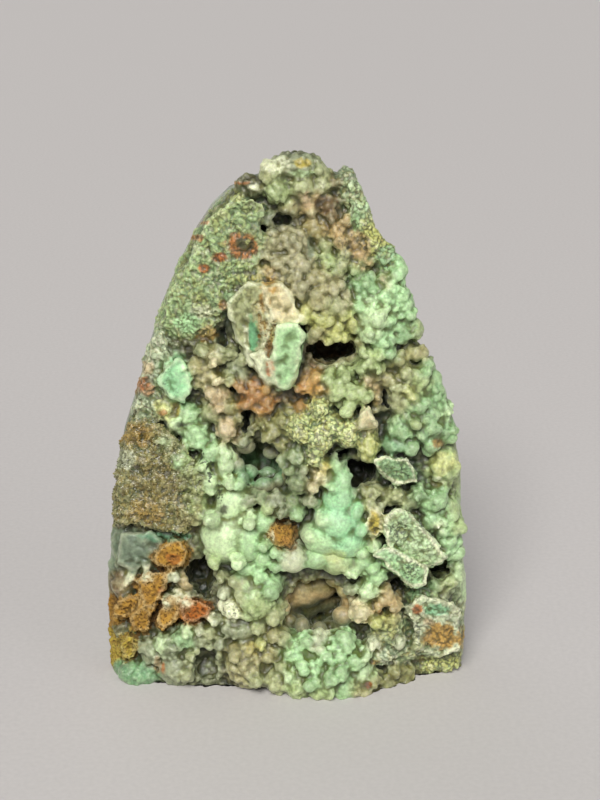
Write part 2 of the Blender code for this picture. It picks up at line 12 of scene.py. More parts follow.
import bmesh
import bpy
import numpy as np
from bpy.props import FloatProperty, FloatVectorProperty, IntProperty, PointerProperty
from mathutils import Matrix, Vector


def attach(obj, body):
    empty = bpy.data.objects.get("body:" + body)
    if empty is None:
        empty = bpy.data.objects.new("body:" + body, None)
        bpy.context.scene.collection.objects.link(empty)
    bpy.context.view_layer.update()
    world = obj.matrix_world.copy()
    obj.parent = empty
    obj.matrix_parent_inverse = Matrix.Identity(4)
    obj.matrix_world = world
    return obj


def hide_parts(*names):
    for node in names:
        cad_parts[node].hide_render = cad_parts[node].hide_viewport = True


bl_info = {
    "name": "Smithsonite specimen",
    "version": (1, 0, 0),
    "blender": (4, 5, 0),
    "location": "3D View > Sidebar > Specimen",
    "description": "Builds the growths, linings, crystals and sawn body of a smithsonite specimen",
    "category": "Object",
}

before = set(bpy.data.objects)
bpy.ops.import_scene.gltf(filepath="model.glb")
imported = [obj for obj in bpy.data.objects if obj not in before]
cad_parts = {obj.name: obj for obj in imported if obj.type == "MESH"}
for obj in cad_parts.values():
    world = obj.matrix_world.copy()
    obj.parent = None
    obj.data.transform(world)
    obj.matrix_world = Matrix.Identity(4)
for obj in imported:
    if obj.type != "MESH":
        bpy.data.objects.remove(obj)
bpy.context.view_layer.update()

MM = 0.001

# Shape of the stone, with the sizes of its solids, which have coarser steps and no foot shift
HEIGHT = 202.0
HALF_WIDTH = 66.0
FACE_AT_BASE = -30.0
FACE_AT_TOP = -9.0
FACE_SIDE_ROUNDING = 6.0
# Near the floor the face stands forward at the left and back at the right: across, shift
FOOT_SHIFT = ((-66.0, -4.5), (-10.0, -3.5), (30.0, -0.5), (66.0, 5.0))
FOOT_HEIGHT = 26.0
RIM_AT_BASE = -4.0
RIM_AT_TOP = 8.0
BACK_AT_BASE = 36.0
BACK_AT_TOP = 17.0
BODY_SETBACK = 7.0
FRONT_SQUARENESS = 4.5
BACK_SQUARENESS = 2.5
SECTION_POINTS = 160
STATION_STEP = 3.0
LOFT_TOP = 198.5
CROWN_START = 176.0
CROWN_RISE = 23.0
LUMP_ROOT = 0.7

# The growth stands this much proud of the body in front and lies inside it at the sides
GROWTH_PROUD = 2.2
GROWTH_INSET = 0.7
GROWTH_OVERHANG = 0.5
BODY_BEHIND_GROWTH = 3.0

# The face is laid out as it is seen from this point, on this upright plane
EYE = Vector((4.7, -635.8, 336.2))
LAYOUT_DEPTH = -25.0

# Slide that brings the layout to the solids' place
SLIDE = Vector((0.397, 1.625, 0.0))

# The sawn body: seen height, left edge and right edge
BODY_STATIONS = (
    (0, -62.5, 63.5), (10, -64.5, 65.2), (18, -66, 66.2), (32, -66.7, 66.3), (48, -66, 65.8),
    (60, -64.6, 64.2), (75, -63.1, 63.2), (90, -61.2, 62.6), (105, -58.4, 59.5), (120, -53.4, 52),
    (135, -49, 44.5), (150, -44.3, 41.5), (165, -37.8, 37.5), (178, -31.3, 30.5), (186, -26, 28.3),
    (192, -20, 25.5), (196, -12, 22.5), (198.5, -3, 12),
)

# Tones of the stone as sRGB hex
TONES = {
    "white": "F0F3CD", "pale_mint": "C6E0AB", "mint": "A9D298", "bright_mint": "A0DAA2",
    "mint_green": "92B982", "deep_mint": "72A071", "sage": "A2A775", "sage_green": "A7BA7C",
    "grey_green": "8E9573", "dull_green": "77885A", "grey_cream": "A8A27A", "olive_cream": "A39C6A",
    "olive": "87854A", "yellow_green": "B9BC6B", "primrose": "CED287", "olive_brown": "8F7F42",
    "brown": "6E5430", "tan": "B89D6A", "tan_pink": "B99C68", "cream": "DCCFA1",
    "pink_cream": "C4AC84", "orange": "A86E2A", "light_orange": "C69448", "rust": "B8661E",
    "ochre": "B58A33", "ochre_yellow": "B8A540", "emerald": "52B27C", "teal": "5B9671",
    "teal_grey": "6E8169", "pale_grey": "C3C9A7", "dark": "2B2A17", "dark_olive": "49491D",
    "matrix": "55512C",
}

# Surface kinds: share of grapes, beads and grains that grow on it, height of its
# lobes and grit, depth of its pits and strength of its mottling
Kind = namedtuple("Kind", "grape bead grain lobe grit pits mottle")
KINDS = {
    "grape": Kind(1, 0.1, 0, 0.15, 0.25, 0, 0.1),
    "bead": Kind(0, 0.6, 0, 0.6, 0.2, 0, 0.12),
    "fine": Kind(0.5, 0.3, 0.05, 0.4, 0.22, 0, 0.12),
    "grain": Kind(0, 0.3, 1, 0.6, 1, 0, 0.5),
    "smooth": Kind(0, 0, 0, 0.3, 0.14, 0, 0.12),
    "spongy": Kind(0, 0.1, 0.5, 0.4, 0.75, 0.5, 0.45),
    "speckled": Kind(0, 0, 0.4, 0, 0.6, 0.3, 0.3),
    "pitted": Kind(0, 0, 0.5, 0.2, 1.1, 1, 0.5),
    "druse": Kind(0, 0.3, 0.6, 0.2, 0.7, 0, 0.3),
    "facet": Kind(0, 0, 0, 0, 0.06, 0, 0.05),
    "gap": Kind(0, 0.85, 0, 0.5, 0.4, 0, 0.1),
    "cavity": Kind(0, 0.3, 0, 0.8, 0.2, 0, 0.1),
}

# Rounded lumps by group, with the group's surface kind: across, up, stand-out
# from the mean face, half width, half height and tone
LUMPS = {
    ("crown", "bead"): (
        (3.5, 199.4, 3, 9.4, 5.2, "grey_green"), (-4.5, 197, 3.5, 4.6, 5.2, "sage"),
        (-2.5, 191.5, 4, 5, 5, "sage_green"), (5.5, 193, 4, 4.8, 4.8, "sage"),
        (12, 194.5, 2, 4.5, 5, "sage"), (-12.5, 192.5, 0.5, 6, 4.6, "matrix"),
    ),
    ("right_ridge", "grain"): (
        (20.5, 195, 1, 3.6, 4.4, "grey_green"), (22.5, 190, 1, 4.4, 5, "sage"),
        (25, 184.5, 1, 4, 5, "pale_mint"), (27, 178.5, 1, 4, 5, "yellow_green"),
        (30, 172.5, 1, 4.5, 5, "yellow_green"), (34, 168, 1, 4.4, 4.6, "mint_green"),
    ),
    ("tan_growth", "bead"): (
        (1.5, 186, 0.5, 4.5, 4.2, "olive_cream"), (8, 187, 1, 4, 4.5, "tan_pink"),
        (14, 186, 0, 4.5, 4.5, "brown"), (10, 177.5, 0, 5, 4.8, "olive_brown"),
        (17, 178, 0.5, 4.5, 4.5, "tan_pink"), (23, 174, 0, 5, 5, "tan_pink"),
        (26.5, 167.5, 0.5, 5.5, 4.5, "tan"), (20, 169, 1, 4, 5, "sage"),
        (13, 168, 1, 4, 4, "sage_green"), (-7, 180.5, -0.5, 5, 4.2, "grey_green"),
    ),
    ("grape_cluster", "grape"): (
        (4, 166, 3, 10.5, 9, "grey_cream"), (11.5, 152.5, 6, 10, 9.5, "olive_cream"),
        (-4.5, 173, 2, 5.4, 5, "grey_cream"), (2, 173.5, 3, 5.4, 5, "grey_cream"),
        (-2, 166, 3, 5, 4.8, "grey_cream"), (4.5, 165, 5, 5, 5, "grey_cream"),
        (-0.5, 159.5, 5, 5.4, 5, "olive_cream"), (5.5, 157.5, 7, 5.4, 5.2, "grey_cream"),
        (11, 161, 6, 4.6, 4.6, "olive_cream"), (16, 157, 6.5, 5, 4.8, "grey_cream"),
        (11, 153.5, 8, 5, 4.6, "olive_cream"), (16.5, 151, 8, 5, 5, "sage"),
        (7.5, 148.5, 7, 4.6, 4.4, "yellow_green"), (13, 146.5, 8, 4.8, 4.4, "yellow_green"),
        (19.5, 148, 7, 4.8, 4.6, "yellow_green"), (11, 142, 6, 4.4, 4, "olive_cream"),
        (17.5, 141.5, 6, 4.6, 4, "yellow_green"), (23, 144, 5, 4, 4, "yellow_green"),
    ),
    ("mint_balls", "fine"): (
        (34, 151, 3.5, 9.5, 12, "mint"), (26.5, 157, 3, 6.4, 6, "mint_green"),
        (35, 158.5, 1.5, 4.5, 4.5, "mint"), (39, 162.5, 1, 3.6, 5.4, "mint"),
        (30.5, 147, 7, 7, 6.8, "pale_mint"), (38.5, 152, 3, 5, 6, "mint"),
        (42, 147.5, 1, 3.4, 6, "mint"), (33.5, 138.5, 5, 5.5, 6.5, "mint"),
        (41, 140.5, 2.5, 5, 4, "mint_green"), (29, 141, 7, 5, 3.8, "pale_mint"),
        (45.6, 141, 1, 3, 3.6, "sage_green"),
    ),
    ("middle_sage", "fine"): (
        (29.5, 130.5, 5, 4.6, 5, "sage_green"), (17, 128.5, -2, 5.5, 4, "sage"),
        (18.5, 119.5, 5, 5.5, 6.5, "sage_green"), (24.5, 117.5, 6, 4.8, 5.5, "sage_green"),
        (38, 130, 1, 6.4, 4, "olive"), (46, 131.5, 0, 5.4, 3.2, "olive_cream"),
        (36, 122.5, 1.5, 4, 3.6, "olive_cream"), (30.5, 120, 1.5, 3.6, 4, "tan"),
        (39.5, 114.5, 2.5, 4, 6.5, "sage"), (32, 112.5, 0, 3.5, 3.5, "olive"),
        (11.5, 125, -4, 4.5, 4.5, "brown"),
    ),
    ("right_mint_mass", "fine"): (
        (48, 111, 2, 10.5, 14, "mint_green"), (46, 122, 2, 6, 5.5, "sage_green"),
        (51.5, 120.5, 0, 4.4, 5.5, "mint_green"), (45.5, 113, 3, 6, 6.5, "mint_green"),
        (53.5, 112, 0, 5, 6, "mint_green"), (41.5, 104.5, 3, 6, 6, "mint_green"),
        (50, 103.5, 2.5, 7, 6, "mint_green"), (57, 103, 0.5, 4.6, 6, "mint_green"),
        (38.5, 97.5, 2, 4.5, 4.5, "deep_mint"), (56.5, 89.5, 0.5, 6, 9, "sage_green"),
    ),
    ("cauliflower", "grain"): (
        (12, 112, 6, 4.6, 4.8, "primrose"), (5, 104.5, 7, 6, 6.5, "primrose"),
        (11.5, 100.5, 7.5, 6, 7, "primrose"), (16, 106, 6, 4.5, 4.5, "primrose"),
        (22, 103, 7, 5.8, 7, "primrose"), (10.5, 93.5, 6, 3.5, 4, "primrose"),
    ),
    ("cauliflower_stem", "bead"): (
        (29, 97, 5, 4.2, 7, "yellow_green"),
    ),
    ("orange_growth", "bead"): (
        (-12, 117.5, 3, 6, 6.2, "orange"), (-10, 122.5, 2, 4, 3, "orange"),
        (-7.5, 114, 3, 4.6, 4.4, "orange"), (-1.5, 115.5, -1, 4, 4.5, "brown"),
        (0.5, 110, 0.5, 4, 3.5, "olive"), (8, 121.5, 1.5, 5, 4.2, "light_orange"),
        (11, 117.5, 1, 3.5, 3.5, "light_orange"),
    ),
    ("left_olive", "bead"): (
        (-4.5, 104, 1.5, 5, 4.8, "olive"), (-9, 107, 0.5, 4, 3.4, "olive"),
        (-1.5, 98.5, 1, 4, 4, "olive"), (-20.5, 112.5, 2, 4.6, 4, "olive"),
        (-21.5, 103.5, 3, 4, 5.5, "pink_cream"), (-27, 109.5, 1, 4.5, 4, "sage"),
        (-24.5, 117, 2, 3.6, 5.5, "pink_cream"), (-29.5, 124, 1, 5.5, 7, "olive_cream"),
        (-24, 132.5, 1.5, 5, 4.5, "sage"), (-17.5, 127.5, 0.5, 4.4, 4, "grey_green"),
        (-35.5, 109, 1.5, 4.6, 4.4, "mint_green"), (-43.5, 110.5, 1, 4.4, 4, "primrose"),
    ),
    ("pale_columns", "bead"): (
        (3, 93.5, 4, 4.2, 4.2, "dull_green"), (4, 83.5, 4, 4.4, 5, "dull_green"),
        (-10, 77.5, 2, 3.8, 3.6, "dull_green"), (-4.5, 76, 2.5, 3.8, 3.6, "grey_green"),
        (1.5, 75.5, 2.5, 3.6, 3.6, "dull_green"), (12.5, 86, 3, 4.2, 6, "cream"),
    ),
    ("central_mint", "smooth"): (
        (18.5, 90.5, 4.5, 3, 4.5, "mint"), (18.8, 76, 5.6, 6.6, 15, "bright_mint"),
        (20, 83.5, 5, 4, 6, "mint"), (19, 76, 6, 6, 6.5, "bright_mint"),
        (18.5, 68, 7.5, 9.2, 8.5, "bright_mint"), (22, 60, 7, 8.4, 8, "bright_mint"),
        (14, 60.5, 6, 8, 8, "mint"), (18.5, 51.5, 5, 7.5, 5.6, "sage_green"),
        (11, 52.5, 5, 5.5, 5, "mint_green"), (2, 52.5, 5, 6.2, 6.2, "pale_grey"),
        (27.5, 51.5, 4, 4.5, 5, "mint"),
    ),
    ("ochre_lump", "pitted"): (
        (-2, 61.5, 4, 4.6, 4, "ochre"), (-4.6, 63.6, 3.6, 2.6, 2.4, "pink_cream"),
        (0.6, 59.4, 4, 2.6, 2.4, "brown"),
    ),
    ("left_ridge", "fine"): (
        (-33, 101, 3, 5.5, 5.5, "mint"), (-27, 94.5, 3, 5, 5, "mint"),
        (-22.8, 90.5, 4, 3.4, 8, "pale_mint"), (-28, 84, 2.5, 5.4, 6.5, "pale_mint"),
        (-39, 105.5, 1, 5, 4, "pale_mint"), (-33, 74, 1.5, 4.5, 9, "sage_green"),
    ),
    ("lower_left_mint", "smooth"): (
        (-19, 64, 3, 11, 15, "pale_mint"), (-20, 74, 3, 7.5, 9, "pale_mint"),
        (-23, 61, 4, 9.5, 11, "pale_mint"), (-14, 60, 4, 6.5, 10, "mint"),
        (-9, 67.5, 3, 5, 5, "mint"), (-9, 52, 2, 4.4, 5, "mint"), (-15, 48.5, 2, 5, 4, "mint"),
    ),
    ("spiky_mint", "fine"): (
        (-12, 34.5, 5, 8.5, 8.6, "sage_green"), (-17, 41, 3, 5.4, 5, "sage"),
        (-6.5, 40.5, 4, 5, 5, "mint_green"), (-21, 32, 3, 4.5, 4.5, "white"),
        (-5.5, 29.5, 3.5, 4.6, 5, "sage"), (-18, 23, 3, 8, 4.6, "grey_green"),
        (-15, 9, 5, 8.4, 10, "olive_cream"), (-7, 14, 4, 4.4, 5.4, "olive_cream"),
    ),
    ("left_foot", "bead"): (
        (-44, 15.5, 1, 6.4, 5.5, "grey_green"), (-51, 13, 0, 5, 5.4, "grey_green"),
        (-39, 19, 1.5, 5, 4, "mint_green"), (-42, 6, 1, 7, 7, "grey_green"),
        (-56, 4, 0, 8.5, 6, "deep_mint"), (-28, 12, 1.5, 4.2, 4.8, "sage"),
        (-33, 18.5, 0.5, 3.6, 3.6, "grey_green"), (-61, 40, 0, 5, 5, "brown"),
        (-37, 43, 1, 3.8, 3.8, "tan"),
    ),
    ("middle_foot", "fine"): (
        (3, 14, 6, 6.4, 6.4, "mint"), (11.5, 18, 4.5, 4.6, 4.4, "pale_grey"),
        (18, 13, 6.5, 6.4, 6.4, "mint"), (10, 9, 7, 5.5, 6, "mint"), (25, 11, 6, 5.5, 6, "mint"),
        (28, 6, 5.5, 5, 5, "pale_mint"), (4, 1.5, 8.5, 7, 8, "sage_green"),
        (13, 0, 9.5, 7, 8, "sage_green"), (-4, 2, 6, 5.5, 6, "sage"),
        (21.5, 0, 9, 6, 7, "mint_green"), (29, -1.5, 7, 5, 6, "olive_cream"),
        (37, 0, 3, 5.4, 6, "olive"), (43.5, 3, 0, 4.5, 6, "olive"),
    ),
    ("beside_lower_hollow", "bead"): (
        (30, 40, 5, 4.6, 4.4, "pale_mint"), (27.5, 31, 5, 4.6, 5.2, "cream"),
        (37, 36.5, 2.5, 4.2, 3.8, "tan"), (32.5, 46, 4, 5, 4, "mint"),
    ),
    ("right_foot", "grain"): (
        (53.5, 23.5, 0.5, 12.5, 13, "sage_green"), (37.5, 23, 2, 7.4, 8.5, "sage"),
        (44, 14.5, 1, 6.5, 6, "sage"), (36, 13, 3, 5.5, 5, "pale_grey"),
        (57, 9.5, -1.5, 8.5, 4.6, "yellow_green"), (49, 36.5, 1, 4.5, 4, "mint_green"),
    ),
    ("right_green", "fine"): (
        (57, 66, 0, 8, 13, "mint"), (59, 59, 0, 5.6, 8.5, "mint"), (54, 67, 1, 5.5, 5, "mint"),
        (60.5, 70.5, -0.5, 4, 6, "sage_green"), (52, 75.5, 2, 5.6, 4.6, "mint"),
        (43.5, 75.5, 2.5, 5, 4.2, "sage"), (37, 77, 2.5, 4, 3.8, "sage"),
        (63, 46, -3, 3.2, 9, "pale_mint"), (57.5, 39, -2, 3.4, 3.4, "sage"),
    ),
}

# Angular pieces, each a prism with a flat broken face that may slope, and how white its rim is
Fragment = namedtuple("Fragment", "stand_out thickness slope_across slope_up kind tone rim outline")

FRAGMENTS = {
    "upper_left_plate": Fragment(1, 12, 0.06, 0, "spongy", "sage_green", 0.15, (
        (-8, 186), (-17, 190), (-27, 181), (-35, 166), (-41, 154), (-46, 141), (-34, 138),
        (-25, 142), (-20, 152), (-11, 163), (-8, 171),
    )),
    "projecting_left_facet": Fragment(6.5, 14, 0.35, 0, "smooth", "sage", 0.6, (
        (-21, 151), (-14, 158), (-8, 158), (-6, 142), (-8, 127), (-13, 127), (-19, 138),
    )),
    "projecting_cream_facet": Fragment(9, 16, -0.25, -0.15, "facet", "cream", 0.5, (
        (-8, 157), (-1.5, 158), (2, 153), (5.5, 145), (3, 141), (-5, 142), (-7, 149),
    )),
    "projecting_mint_facet": Fragment(9, 16, -0.1, 0.1, "facet", "mint", 0.35, (
        (-4.5, 142), (4.5, 143), (6.5, 138), (4, 130), (4, 124), (1, 119), (-3.5, 117.5),
        (-5.5, 123),
    )),
    "projecting_ochre_strip": Fragment(6.5, 13, 0.1, 0, "pitted", "ochre", 0.4, (
        (-10, 150), (-5.5, 148), (-3.5, 138), (-3.5, 126), (-6.5, 120), (-9, 127), (-9, 138),
    )),
    "projecting_lower_rim": Fragment(8, 14, 0.2, 0, "smooth", "pale_grey", 0.7, (
        (-14, 131), (-9, 133), (-6, 128), (-3.5, 119), (-7, 119),
    )),
    "mint_crystal": Fragment(3, 10, 0, 0.05, "facet", "bright_mint", 0.3, (
        (-40, 130), (-37.5, 129.5), (-35, 123), (-34.5, 118), (-37, 113.5), (-41.5, 114),
        (-45.5, 118.5), (-46.5, 122), (-44, 126.5),
    )),
    "left_margin": Fragment(0, 9, 0.08, 0, "spongy", "pale_grey", 0.2, (
        (-47, 140), (-44, 141), (-42, 130), (-44, 116), (-40, 107), (-49, 105), (-56, 107),
        (-52.5, 120),
    )),
    "druse_patch": Fragment(2, 11, 0.08, 0, "druse", "olive_brown", 0, (
        (-56, 107), (-47, 105), (-37, 96), (-31, 84), (-31.5, 71), (-38, 62), (-46, 62.5),
        (-61, 66), (-62, 80), (-60, 92),
    )),
    "window": Fragment(-2, 9, 0.05, 0, "smooth", "teal_grey", 0.2, (
        (-62, 62), (-50, 62), (-46, 58), (-50, 50), (-57, 46), (-64, 48),
    )),
    "limonite_top": Fragment(2.5, 10, 0.1, 0.1, "pitted", "ochre", 0.2, (
        (-50, 52), (-47, 56), (-42, 59), (-39.5, 59), (-36.5, 53), (-38, 49), (-43, 46.5),
        (-49, 48.5),
    )),
    "limonite_middle": Fragment(2, 10, 0.05, -0.1, "pitted", "ochre", 0.2, (
        (-57, 42), (-52, 45.5), (-45, 46), (-46, 39), (-50.5, 30), (-54, 31.5),
    )),
    "limonite_left": Fragment(1, 9, 0.1, 0, "pitted", "ochre", 0.15, (
        (-65, 30), (-63, 34), (-59, 36), (-55, 35), (-54.5, 32.5), (-60.5, 27.5), (-64, 26),
    )),
    "limonite_lower": Fragment(1.8, 9, 0, 0.1, "pitted", "ochre", 0.15, (
        (-59.7, 26.5), (-55, 31.3), (-51.3, 29), (-51.5, 24), (-53.5, 20), (-58, 21.5),
    )),
    "limonite_right": Fragment(2.4, 9, 0.1, -0.1, "pitted", "ochre", 0.2, (
        (-49, 29), (-45.5, 34.5), (-41, 35), (-40.3, 30), (-42.5, 25), (-47, 22), (-49.3, 24),
    )),
    "limonite_orange": Fragment(2.6, 9, -0.1, 0, "pitted", "rust", 0.2, (
        (-39.7, 34), (-33, 34), (-28.5, 31), (-30, 27), (-35, 24.8), (-39.2, 25), (-40, 29),
    )),
    "limonite_foot": Fragment(0.5, 8, 0.1, 0, "pitted", "ochre_yellow", 0.15, (
        (-64, 15.5), (-61, 20), (-57.5, 19), (-58, 10.5), (-61, 9),
    )),
    "speckled_lens": Fragment(6, 10, -0.1, 0.3, "speckled", "mint_green", 0.9, (
        (31, 90.5), (36, 92), (44, 91), (47.5, 86), (47.5, 82.5), (40, 81), (34, 85),
    )),
    "ochre_cube": Fragment(5, 10, 0.2, 0.1, "speckled", "ochre_yellow", 0.5, (
        (30, 71.5), (35.5, 70), (35, 61), (31.5, 59), (29, 64),
    )),
    "speckled_block_upper": Fragment(7, 14, -0.05, 0.15, "speckled", "pale_mint", 0.9, (
        (36, 66), (39, 71), (44, 71.5), (49, 65), (59.5, 51), (52, 47), (44, 51), (37, 55),
    )),
    "speckled_block_lower": Fragment(7, 12, -0.1, -0.1, "speckled", "mint", 0.9, (
        (36, 57), (44, 52), (52, 48), (51.5, 40), (45, 39.5), (36, 49), (31, 53),
    )),
    "cream_fragment": Fragment(7.5, 10, 0, 0.2, "smooth", "cream", 0.3, (
        (26, 108), (29, 112), (31.5, 107), (33, 103), (30, 102), (26, 103),
    )),
    "right_slab": Fragment(2, 10, -0.05, 0.1, "speckled", "pale_grey", 0.8, (
        (44, 31), (50, 35.5), (58, 35), (64.5, 30), (65, 14), (58, 10), (50, 13), (47, 22),
    )),
}

